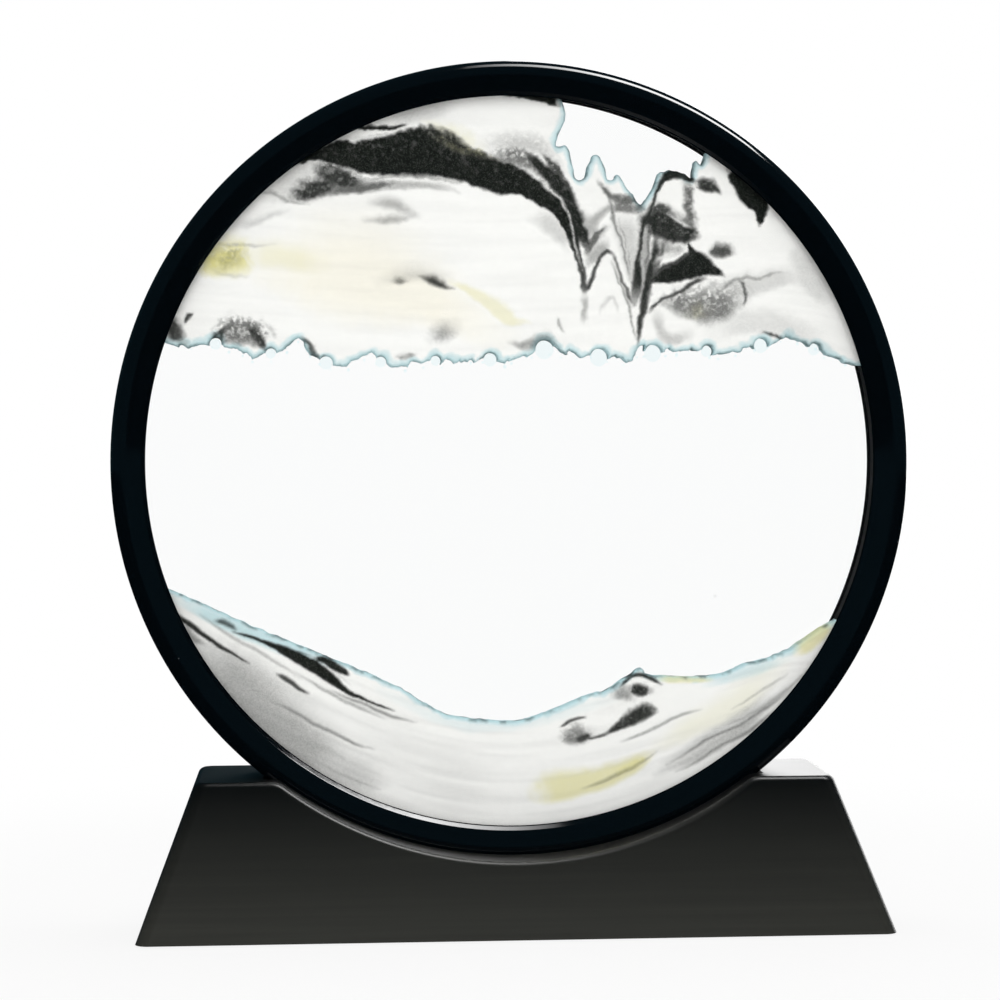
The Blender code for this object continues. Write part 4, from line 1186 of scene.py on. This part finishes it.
def insideGrid(outline, spacing, seed):
    # points of a slightly disturbed triangular grid that lie inside the outline
    chance = np.random.RandomState(seed)
    loop = np.array(outline)
    ahead = np.roll(loop, -1, axis=0)
    low, high = loop.min(axis=0), loop.max(axis=0)
    kept = []
    unrest = sandSettings["gridUnrest"]
    rowHeight = spacing * math.sqrt(3) / 2
    for row in range(int((high[1] - low[1]) / rowHeight)):
        z = low[1] + (row + 0.5) * rowHeight
        crossing = (loop[:, 1] > z) != (ahead[:, 1] > z)
        share = (z - loop[crossing, 1]) / (ahead[crossing, 1] - loop[crossing, 1])
        walls = np.sort(loop[crossing, 0] + share * (ahead[crossing, 0] - loop[crossing, 0]))
        x = np.arange(low[0] + (row % 2) * spacing / 2, high[0], spacing)
        x = x[np.searchsorted(walls, x) % 2 == 1]
        lifted = z + chance.uniform(-unrest, unrest, len(x)) * spacing
        shifted = x + chance.uniform(-unrest, unrest, len(x)) * spacing
        kept.append(np.stack((shifted, lifted), axis=1))
    return np.vstack(kept)


def insideOutline(points, outline):
    # which of the points lie inside the outline
    loop = np.array(outline)
    inside = np.zeros(len(points), bool)
    for (ax, az), (bx, bz) in zip(loop, np.roll(loop, -1, axis=0)):
        crossing = (az > points[:, 1]) != (bz > points[:, 1])
        wall = ax + (points[crossing, 1] - az) / (bz - az) * (bx - ax)
        inside[crossing] ^= points[crossing, 0] < wall
    return inside


def fillOutline(outline, inner):
    # places and triangles that fill the outline, with the inner points among them
    loop = [Vector(point) for point in outline]
    found = geometry.delaunay_2d_cdt(
        loop + [Vector(point) for point in inner], [], [list(range(len(loop)))], 1, 1e-5, False
    )
    flat = np.array([tuple(point) for point in found[0]])
    faces = np.array(found[2])
    return flat, faces[insideOutline(flat[faces].mean(axis=1), outline)]


def plantTree(places):
    # finds the nearest of some places
    tree = kdtree.KDTree(len(places))
    for index, place in enumerate(places):
        tree.insert(place, index)
    tree.balance()
    return tree


def distances(tree, places):
    return np.array([tree.find((x, z, 0))[2] for x, z in places])


def drifted(x, z, wide, fine):
    # the drawn marks wander a little, as poured sand does
    wideSize, fineSize = sandSettings["driftSizes"]
    return [
        place + wide * (fractalNoise(x, z, wideSize, seed) - 0.5)
        + fine * (fractalNoise(x, z, fineSize, seed + 10) - 0.5)
        for place, seed in ((x, 60), (z, 65))
    ]


def paintBed(x, z, bed, seed):
    # share of black, gold, ivory and frost at each point
    wanderX, wanderZ = drifted(x, z, *bed["drift"])
    black = np.full(len(x), bed["shade"])
    for index, (tone, soft, speckle, *path) in enumerate(bed["black"].values()):
        mask = strokeMask(wanderX, wanderZ, path, soft, speckle, seed + 10 * index)
        change = (tone - black) * mask
        black += change if tone < sandSettings["veinTone"] else np.maximum(change, 0)
    # faint layers that follow the bed's edge, and clouds over them
    below = z - np.polyval(np.polyfit(*zip(*bed["edge"]["points"]), 4), x)
    layers = sum(
        latticeNoise(x, below * thinner, length, seed + 3 * index)
        for index, (length, thinner) in enumerate(sandSettings["layerSizes"])
    ) - 1
    clouds = fractalNoise(x, z, sandSettings["cloudSize"], seed + 1) - 0.5
    black += bed["layers"] * (layers + clouds) * (1 - black)
    # fine fibres, only where it is more black than white
    length, thinner = sandSettings["fibreSize"]
    fibres = latticeNoise(wanderX * thinner, wanderZ, length, seed + 2)
    black *= 1 - sandSettings["fibres"] * fibres * np.clip(black * 3 - 1.5, 0, 1)
    tints = []
    for kind in ("gold", "ivory", "frost"):
        tint = np.zeros(len(x))
        for index, (tone, soft, speckle, *path) in enumerate(bed[kind].values()):
            mask = strokeMask(wanderX, wanderZ, path, soft, speckle, seed + 7 + 10 * index)
            tint = np.maximum(tint, tone * mask)
        tints.append(tint)
    black *= 1 - sandSettings["goldOverBlack"] * tints[0]
    return 1 - (1 - np.clip(black, 0, 1)) ** sandSettings["darkening"], *tints


def edgeTints(x, z, away, depth, seed):
    # pale frost where the sand lies thin against the glass, and painted shade in dark patches along its
    # edge
    least, more = sandSettings["fringeDepth"]
    reach = depth * (least + more * fractalNoise(x, z, sandSettings["fringeSize"], seed + 5))
    frost = np.clip(1 - away / reach, 0, 1) ** sandSettings["fringeFade"]
    edgeShadeMarks = fractalNoise(x, z, sandSettings["edgeShadeSize"], seed + 6)
    edgeShadeMarks = sandSettings["edgeShade"] * np.clip(edgeShadeMarks * 5 - 2.4, 0, 1)
    return frost, edgeShadeMarks * np.clip(1.2 - away / sandSettings["edgeShadeDepth"], 0, 1)


def closeBed(shape, outline, side):
    # a wall along the outline, and a cap over its far end
    rim = [line for line in shape.edges if line.is_boundary]
    walls = bmesh.ops.extrude_edge_only(shape, edges=rim)["geom"]
    ends = [part for part in walls if isinstance(part, bmesh.types.BMVert)]
    for part in ends:
        part.co.y = side * sandSettings["halfGap"]
    tree = plantTree([(part.co.x, part.co.z, 0) for part in ends])
    flat, faces = fillOutline(outline, [])
    nearest = [tree.find((x, z, 0))[1] for x, z in flat.tolist()]
    for face in faces:
        corners = {nearest[index] for index in face}
        if len(corners) == 3:
            shape.faces.new([ends[index] for index in corners])


def paintPiece(piece, ragged, bed, seed):
    places = np.empty(len(piece.data.vertices) * 3)
    piece.data.vertices.foreach_get("co", places)
    x, z = places[0::3], places[2::3]
    black, gold, ivory, frost = paintBed(x, z, bed, seed)
    fringe, edgeShade = edgeTints(x, z, distances(ragged, zip(x, z)), bed["fringe"], seed)
    # the painted shade along the ragged edge darkens the sand there
    black, frost = np.maximum(black, edgeShade), np.maximum(frost, fringe)
    shares = piece.data.attributes.new("sandShares", "FLOAT_COLOR", "POINT")
    shares.data.foreach_set("color", np.stack((black, gold, ivory, frost), axis=1).ravel())


def makeBed(name, outline, bed, side, spacing, seed):
    # half the depth of a bed of sand, its face against one of the discs
    border = plantTree([(x, z, 0) for x, z in outline])
    # points on the rim are moved far off, so only the ragged edge is found
    ragged = plantTree([
        (x, z, 1e3 if math.hypot(x, z) > cavityRadius - 0.02 else 0) for x, z in outline
    ])
    grid = insideGrid(outline, spacing, seed)
    clear = distances(border, grid) > sandSettings["clearOfEdge"] * spacing
    flat, faces = fillOutline(outline, grid[clear])
    rounding = sandSettings["edgeRounding"]
    inwards = 1 - np.clip(distances(ragged, flat) / rounding, 0, 1)
    fall = rounding * (1 - np.sqrt(1 - inwards ** 2))
    waves = fractalNoise(flat[:, 0], flat[:, 1], sandSettings["reliefSize"], seed + 2, 4)
    depth = cellHalf - sandSettings["relief"] * waves - fall
    mesh = bpy.data.meshes.new(name)
    points = np.stack((flat[:, 0], side * depth, flat[:, 1]), axis=1)
    mesh.from_pydata(points.tolist(), [], faces.tolist())
    shape = bmesh.new()
    shape.from_mesh(mesh)
    closeBed(shape, outline, side)
    piece = solid(name, shape)
    paintPiece(piece, ragged, bed, seed)
    piece.data.shade_smooth()
    piece.data.set_sharp_from_angle(angle=math.radians(sandSettings["sharpAbove"]))
    return piece


bedNodes = {
    "upper": (
        "white_sand_upper", "black_sand_band", "black_sand_wedge", "black_sand_peak",
        "gold_sand_patch", "gold_sand_streak",
    ),
    "lower": ("white_sand_lower", "black_sand_slope", "black_sand_mound", "gold_sand_bank"),
}
for height, outline, bed in (
    ("upper", upperOutline, upperBed), ("lower", lowerOutline, lowerBed),
):
    for face, side in (("front", -1), ("rear", 1)):
        spacing = sandSettings["grid"][face]
        seed = sandSettings["seed"] + side
        sand = makeBed(f"{height}Sand_{face}", outline, bed, side, spacing, seed)
        replaced = bedNodes[height] if face == "front" else ()
        finishPiece(sand, "frame", "white_sand", *replaced, material=colouredSand)
        print("stage:", sand.name, len(sand.data.polygons), "faces")


liquidSettings = {
    "overlap": 0.1,  # into the discs on either side
    "edgeOverlap": 0.12,  # into the sand along its edges
}


def makeLiquid(name, outline, node):
    liquid = makeSlab(name, outline, cellHalf + liquidSettings["overlap"])
    finishPiece(liquid, "frame", "clear_liquid", node, material=clearLiquid)


def moved(points, side):
    rise = side * liquidSettings["edgeOverlap"]
    return [(x, z + rise) for x, z in points]


makeLiquid(
    "clearLiquidMiddle",
    rimArc(left, lowerLeft, liquidRadius) + moved(lowerEdge[1:-1], 1)
    + rimArc(lowerRight, right + 360, liquidRadius) + moved(underBubbles[::-1], -1),
    "liquid",
)
makeLiquid(
    "clearLiquidNotch",
    rimArc(notchRight, notchLeft, liquidRadius) + moved(notchEdge[-2:0:-1], 1),
    "liquid_in_notch",
)
print("stage: liquid made")


# Air: one round body for each bubble, flattened between the discs

bubbleSettings = {
    "flattened": 0.96,  # depth of the held bubbles, as a share of the cell
    "foamEvery": 3.6,  # along the edge of the upper bed
    "foamRadius": (0.15, 0.4),
    "foamAside": 0.8,
    "foamDepth": 1.7,
    "foamBelow": (0.2, 0.8),  # under the edge
    "foamStretch": (0.8, 1.3),
    "detail": 3,
    "seed": 21,
}


def makeBubbleTree():
    tree, given = geometryTree("roundBubbles", (("Detail", "Int"), ("Finish", "Material")))
    ball = addNode(
        tree, "GeometryNodeMeshIcoSphere", {"Radius": 1.0, "Subdivisions": given["Detail"]}
    )
    placed = addNode(tree, "GeometryNodeInstanceOnPoints", {
        "Points": given["Geometry"],
        "Instance": ball.outputs[0],
        "Scale": storedValue(tree, "size", "FLOAT_VECTOR"),
    })
    smooth = addNode(tree, "GeometryNodeSetShadeSmooth", {0: placed.outputs[0]})
    return finishTree(tree, smooth.outputs[0], given["Finish"])


def makeBubbles():
    chance = np.random.RandomState(bubbleSettings["seed"])
    aside, inDepth = bubbleSettings["foamAside"], bubbleSettings["foamDepth"]
    places = [(x, 0, z) for x, z, radius in heldBubbles]
    halfDepth = cellHalf * bubbleSettings["flattened"]
    sizes = [(radius, halfDepth, radius) for x, z, radius in heldBubbles]
    step = int(bubbleSettings["foamEvery"] / sandSettings["edgeSpacing"])
    for x, z in upperEdge[step:-step:step]:
        radius = chance.uniform(*bubbleSettings["foamRadius"])
        places.append((
            x + chance.uniform(-aside, aside), chance.uniform(-inDepth, inDepth),
            z - radius - chance.uniform(*bubbleSettings["foamBelow"]),
        ))
        sizes.append((radius, radius, radius * chance.uniform(*bubbleSettings["foamStretch"])))
    middles = makePoints("airBubbles", places, "size", "FLOAT_VECTOR", sizes)
    bubbles = grow(middles, makeBubbleTree(), {
        "Detail": bubbleSettings["detail"], "Finish": trappedAir,
    })
    replaced = [name for name in nodes if name.startswith("air_bubble")]
    return finishPiece(bubbles, "frame", "air", *replaced)


makeBubbles()
print("stage: bubbles made")


# Base: a moulded block with sloping sides, hollow from below, and the groove for the ring

baseSettings = {
    "length": (167.8, 142.4),  # at the bottom and at the top
    "depth": (50, 32.5),
    "heights": (0.3, 34.4),
    "cornerRadius": 3,
    "edgeRounding": 1.1,
    "lipRadius": 88.2,
    "lipFillet": 5,
    "grooveRadius": 90.3,
    "grooveHalfWidth": 10.1,
    "grooveRounding": 0.5,
    "wall": 2.4,
    "rim": 1.4,
    "coverTop": 3.5,
    "arcSteps": 96,
    "filletSteps": 8,
    "grooveSteps": 256,
    "grooveRoundingSteps": 6,
    "wallSteps": 128,
    "sharpAbove": 40,  # degrees; edges above it are rounded
    "ribs": (-31.5, -10.5, 10.5, 31.5),
    "ribThickness": 1.6,
    "cutReach": 60,  # how far the shapes that cut it reach from the middle, in depth
}


def sizeAtHeight(name, height):
    low, high = baseSettings["heights"]
    share = (height - low) / (high - low)
    bottom, top = baseSettings[name]
    return bottom + (top - bottom) * share


def roundedOutline(height, inset, steps=10):
    radius = max(baseSettings["cornerRadius"] - inset, 1)
    halfX = sizeAtHeight("length", height) / 2 - inset - radius
    halfY = sizeAtHeight("depth", height) / 2 - inset - radius
    points = []
    for corner, (sideX, sideY) in enumerate(((1, 1), (-1, 1), (-1, -1), (1, -1))):
        for step in range(steps + 1):
            angle = math.pi / 2 * (corner + step / steps)
            points.append((
                sideX * halfX + radius * math.cos(angle),
                sideY * halfY + radius * math.sin(angle),
                height,
            ))
    return points


def draftedBlock(name, low, high, inset):
    return makeBlock(name, roundedOutline(low, inset), roundedOutline(high, inset))


def cradleRoom():
    # everything above the base from the front: the arc round the ring, run out into the top
    top = baseSettings["heights"][1]
    lip, fillet = baseSettings["lipRadius"], baseSettings["lipFillet"]
    drop = middleHeight - top
    filletX = math.sqrt((lip + fillet) ** 2 - (drop + fillet) ** 2)
    reach = math.atan2(filletX, drop + fillet)
    steps = baseSettings["arcSteps"]
    arc = []
    for step in range(steps + 1):
        angle = -reach + 2 * reach * step / steps
        arc.append((lip * math.sin(angle), middleHeight - lip * math.cos(angle)))
    runOut = []
    steps = baseSettings["filletSteps"]
    for step in range(1, steps + 1):
        angle = reach * (1 - step / steps)
        runOut.append((
            filletX - fillet * math.sin(angle), top - fillet + fillet * math.cos(angle)
        ))
    far = baseSettings["length"][0]
    outline = [(-x, z) for x, z in runOut[::-1]] + arc + runOut
    outline += [(far, top), (far, top + 20), (-far, top + 20), (-far, top)]
    return makeSlab("cradleRoom", outline, baseSettings["cutReach"])


def grooveRoom():
    # the ring's room, with edges that roll over onto the lips
    radius, half = baseSettings["grooveRadius"], baseSettings["grooveHalfWidth"]
    lip, rounding = baseSettings["lipRadius"], baseSettings["grooveRounding"]
    side = [(radius, half)]
    steps = baseSettings["grooveRoundingSteps"]
    for step in range(steps + 1):
        angle = math.pi / 2 * step / steps
        side.append((
            lip + rounding * (1 - math.sin(angle)),
            half + rounding * (1 - math.cos(angle)),
        ))
    side.append((lip - 1, half + rounding))
    profile = [(across, -depth) for across, depth in side[::-1]] + side
    middle = (0, 0, middleHeight)
    return makeSpindle("grooveRoom", profile, baseSettings["grooveSteps"], middle, "Y")


def hollowRoom():
    # the hollow under the moulding, which leaves its wall under the groove and its ribs
    low, high = baseSettings["heights"]
    wall, cutReach = baseSettings["wall"], baseSettings["cutReach"]
    hollow = draftedBlock("hollowRoom", low - 2, high - wall, wall)
    radius = baseSettings["grooveRadius"] + wall
    profile = ((radius, -cutReach), (radius, cutReach))
    middle = (0, 0, middleHeight)
    kept = [makeSpindle("wallUnderGroove", profile, baseSettings["wallSteps"], middle, "Y")]
    half = baseSettings["ribThickness"] / 2
    for x in baseSettings["ribs"]:
        bottom, top = (rectangle(half, cutReach, height, x) for height in (low - 4, high))
        kept.append(makeBlock("ribPlace", bottom, top))
    return cutAway(hollow, *kept)


def makeBase():
    low, high = baseSettings["heights"]
    base = draftedBlock("cradleBase", low - 4, high, 0)
    cutAway(base, cradleRoom())
    rounding = base.modifiers.new("rolled edges", "BEVEL")
    rounding.width = baseSettings["edgeRounding"]
    rounding.segments = 5
    rounding.limit_method = "ANGLE"
    rounding.angle_limit = math.radians(baseSettings["sharpAbove"])
    applyModifiers(base)
    far = baseSettings["length"][0]
    underTable = makeBlock("underTable", rectangle(far, far, low - 9), rectangle(far, far, low))
    coverRoom = draftedBlock(
        "coverRoom", low - 2, baseSettings["coverTop"], baseSettings["rim"]
    )
    cutAway(base, underTable, grooveRoom(), hollowRoom(), coverRoom)
    shadeWell(pointOutwards(base))
    return finishPiece(base, "base", "base_plastic", "base_shell", material=basePlastic)


makeBase()
print("stage: base made")


# Screws and feet: one of each, set on its four places

footSettings = {
    "places": ((-70, -14), (70, -14), (-70, 14), (70, 14)),
    "radius": 6,
    "height": 1.9,
    "edge": 0.3,
    "dish": 0.35,  # depth of the sucker's hollow
    "steps": 48,
    "sharpAbove": 50,  # degrees
}
screwSettings = {
    "places": ((-52, -12.5), (52, -12.5), (-52, 12.5), (52, 12.5)),
    "head": (2.7, 1.2),  # radius and height
    "shank": (1.3, 9),  # radius and length
    "low": 1.0,
    "threads": 14,
    "core": 0.8,  # radius between the threads, as a share of the shank's
    "recess": (3.4, 0.7, 0.8),  # length, width and depth of the cross
    "taper": 0.8,  # of the cross towards its foot
    "steps": 24,
    "sharpAbove": 40,  # degrees
}
turnBetween = 0.5  # from each screw or foot to the next, in radians


def makePlacingTree():
    tree, given = geometryTree("setOnPlaces", (("Part", "Object"), ("Finish", "Material")))
    part = addNode(tree, "GeometryNodeObjectInfo", {"Object": given["Part"]})
    placed = addNode(tree, "GeometryNodeInstanceOnPoints", {
        "Points": given["Geometry"],
        "Instance": part.outputs["Geometry"],
        "Rotation": storedValue(tree, "turn", "FLOAT_VECTOR"),
    })
    return finishTree(tree, placed.outputs[0], given["Finish"])


def setOnPlaces(name, part, places, tree, material, slotName, replaced):
    turns = [(0, 0, turnBetween * index) for index in range(len(places))]
    points = makePoints(name, [(x, y, 0) for x, y in places], "turn", "FLOAT_VECTOR", turns)
    group = grow(points, tree, {"Part": part, "Finish": material})
    bpy.data.objects.remove(part)
    return finishPiece(group, "base", slotName, *replaced)


def oneFoot():
    radius, height = footSettings["radius"], footSettings["height"]
    edge, dish = footSettings["edge"], footSettings["dish"]
    profile = (
        (0.4 * radius, dish), (0.75 * radius, dish * 0.6), (radius - 4 * edge, 0.04),
        (radius - 2 * edge, 0), (radius - edge, 0.05), (radius, edge),
        (radius, height - edge), (radius - edge, height),
    )
    foot = makeSpindle("oneFoot", profile, footSettings["steps"])
    return shadeWell(foot, footSettings["sharpAbove"])


def oneScrew():
    (headRadius, headHeight), (radius, length) = screwSettings["head"], screwSettings["shank"]
    low, threads = screwSettings["low"], screwSettings["threads"]
    high = low + headHeight
    profile = [
        (headRadius - 0.5, low), (headRadius - 0.15, low + 0.15), (headRadius, low + 0.5),
        (headRadius, high),
    ]
    for step in range(threads):
        height = high + length * (step + 0.3) / (threads + 1)
        profile += [(radius * screwSettings["core"], height), (radius, height + 0.28)]
    profile.append((0.3, high + length))
    screw = makeSpindle("oneScrew", profile, screwSettings["steps"])
    reach, width, depth = screwSettings["recess"]
    taper = screwSettings["taper"]
    cutters = []
    for halfX, halfY in ((reach / 2, width / 2), (width / 2, reach / 2)):
        foot = rectangle(taper * halfX, taper * halfY, low + depth)
        cutters.append(makeBlock("recessArm", rectangle(halfX, halfY, low - 1), foot))
    return shadeWell(cutAway(screw, *cutters), screwSettings["sharpAbove"])


placingTree = makePlacingTree()
setOnPlaces(
    "rubberFeet", oneFoot(), footSettings["places"], placingTree, footRubber, "foot_rubber",
    [name for name in nodes if name.startswith("foot_")],
)
setOnPlaces(
    "baseScrews", oneScrew(), screwSettings["places"], placingTree, zincSteel, "zinc_steel",
    [name for name in nodes if name.startswith("base_screw")],
)
print("stage: screws and feet made")


# Camera, in millimetres

cameraSettings = {
    "position": (-43.4, -598.3, 111.1),
    "target": (0, 0, 105),
    "roll": -0.18,  # degrees
    "lens": 94.8,
    "shift": (-0.0109, -0.0392),
}


def aim(thing, position, target, roll=0):
    turn = (Vector(target) - Vector(position)).to_track_quat("-Z", "Y").to_matrix()
    turn = turn @ Matrix.Rotation(math.radians(roll), 3, "Z")
    thing.matrix_world = Matrix.Translation(position) @ turn.to_4x4()


def makeCamera():
    data = bpy.data.cameras.new("camera")
    data.lens = cameraSettings["lens"]
    data.shift_x, data.shift_y = cameraSettings["shift"]
    camera = makeObject("camera", data)
    position = Vector(cameraSettings["position"]) * mm
    aim(camera, position, Vector(cameraSettings["target"]) * mm, cameraSettings["roll"])
    bpy.context.scene.camera = camera


# Floor, lamps and surroundings, in metres

studioSettings = {
    "floor": (0.80, 0.80, 0.795),
    "floorRadius": 3,
    "floorRoughness": 0.9,
    "floorSpecular": 0.1,
    "floorClouds": 6.0,  # scale of the floor's deeper places
    "floorTone": 0.985,  # how deep they are
    "floorWhite": (0.86, 1.0),  # share of plain white seen in the floor, near and far
    "floorFade": (0.12, 0.28),  # where that share begins and stops to rise, from the middle
    "ambient": 0.48,
    "reflected": (0.014, 0.033, 0.043),  # the surroundings in glossy surfaces
    "reflectedFloor": (0.003, 0.006, 0.007),
    # position, point that it faces, width and height, and power
    "lamps": {
        "front": ((-0.1, -1.6, 0.45), (0, 0, 0.10), (1.0, 1.0), 14.6),
        "above": ((0.1, 0.15, 1.05), (0, 0, 0.10), (0.62, 0.34), 5.0),
    },
    # white cards that only glossy surfaces show: the same, then strength and width of the
    # fade on the left
    "cards": {
        "above": ((0.375, -0.14, 1.0), (0.375, 0.1, 0.12), (0.85, 0.36), 12.0, 0.35),
        "far": ((1.16, 1.6, 0.5), (1.16, 0, 0.5), (2.08, 1.0), 3.2, 0.01),
    },
    "cardClouds": 2.0,  # scale of a card's duller places
    "cardTone": 0.94,  # how dull they are
    "cardEnd": 0.05,  # what is left of its light at the left end
}


def seenByRay(tree, plain, mirrored, seen):
    # plain lights the object, mirrored shows in glossy surfaces and seen is what the eye gets
    path = addNode(tree, "ShaderNodeLightPath").outputs
    turnedBack = calculate(tree, "GREATER_THAN", path["Glossy Depth"], 0.5)
    through = mixShaders(tree, turnedBack, seen, mirrored)
    for kind, light in (
        ("Is Glossy Ray", mirrored), ("Is Transmission Ray", through), ("Is Camera Ray", seen),
    ):
        plain = mixShaders(tree, path[kind], plain, light)
    return plain


def makeFloor():
    shape = bmesh.new()
    radius = studioSettings["floorRadius"]
    bmesh.ops.create_circle(shape, cap_ends=True, segments=64, radius=radius)
    floor = solid("floor", shape)
    pale = studioSettings["floor"]
    material, tree, shader, place = newMaterial(
        "paleFloor", pale, studioSettings["floorRoughness"]
    )
    shader.inputs["Specular IOR Level"].default_value = studioSettings["floorSpecular"]
    deeper = tuple(studioSettings["floorTone"] * part for part in pale)
    clouds = noise(tree, place, studioSettings["floorClouds"])
    colour = mixColours(tree, clouds, pale, deeper)
    feed(tree, shader, "Base Color", colour)
    away = vectorMath(tree, "LENGTH", place)["Value"]
    share = spread(
        tree, away, *studioSettings["floorWhite"], *studioSettings["floorFade"],
        interpolation_type="SMOOTHSTEP",
    )
    white = addNode(tree, "ShaderNodeEmission", {"Strength": 1.0}).outputs[0]
    seen = mixShaders(tree, share, shader.outputs[0], white)
    dark = addNode(
        tree, "ShaderNodeEmission", {"Color": (*studioSettings["reflectedFloor"], 1)}
    ).outputs[0]
    showSurface(tree, seenByRay(tree, shader.outputs[0], dark, seen))
    floor.data.materials.append(material)


def makeLamps():
    for name, (position, target, size, power) in studioSettings["lamps"].items():
        data = bpy.data.lights.new(name, "AREA")
        data.shape = "RECTANGLE"
        data.size, data.size_y = size
        data.energy = power
        lamp = makeObject(name, data)
        lamp.visible_glossy = lamp.visible_transmission = False
        aim(lamp, position, target)


def makeCards():
    for name, (position, target, size, strength, fade) in studioSettings["cards"].items():
        mesh = bpy.data.meshes.new(f"{name}Card")
        across = size[0] / 2
        mesh.from_pydata(rectangle(across, size[1] / 2, 0), [], [(0, 1, 2, 3)])
        card = makeObject(f"{name}Card", mesh)
        material, tree, shader, place = newMaterial(f"{name}White", (0.8, 0.8, 0.8))
        clouds = noise(tree, place, studioSettings["cardClouds"])
        glow = spread(tree, clouds, studioSettings["cardTone"] * strength, strength)
        end = studioSettings["cardEnd"]
        share = spread(tree, partOf(tree, place, "X"), end, 1.0, -across, fade - across)
        glow = calculate(tree, "MULTIPLY", glow, share)
        showSurface(tree, addNode(tree, "ShaderNodeEmission", {"Strength": glow}).outputs[0])
        mesh.materials.append(material)
        for kind in ("camera", "diffuse", "transmission", "shadow"):
            setattr(card, f"visible_{kind}", False)
        aim(card, position, target)


def makeSurroundings():
    world = bpy.data.worlds.new("studio")
    bpy.context.scene.world = world
    world.use_nodes = True
    tree = world.node_tree
    tree.nodes.clear()
    white = (1, 1, 1)
    plain, mirrored, seen = (
        addNode(
            tree, "ShaderNodeBackground", {"Color": (*colour, 1), "Strength": strength}
        ).outputs[0]
        for colour, strength in (
            (white, studioSettings["ambient"]), (studioSettings["reflected"], 1.0), (white, 1.0),
        )
    )
    chosen = seenByRay(tree, plain, mirrored, seen)
    addNode(tree, "ShaderNodeOutputWorld", {"Surface": chosen})


makeCamera()
makeFloor()
makeLamps()
makeCards()
makeSurroundings()
bpy.context.scene.view_settings.view_transform = "Standard"
print("stage: studio made")
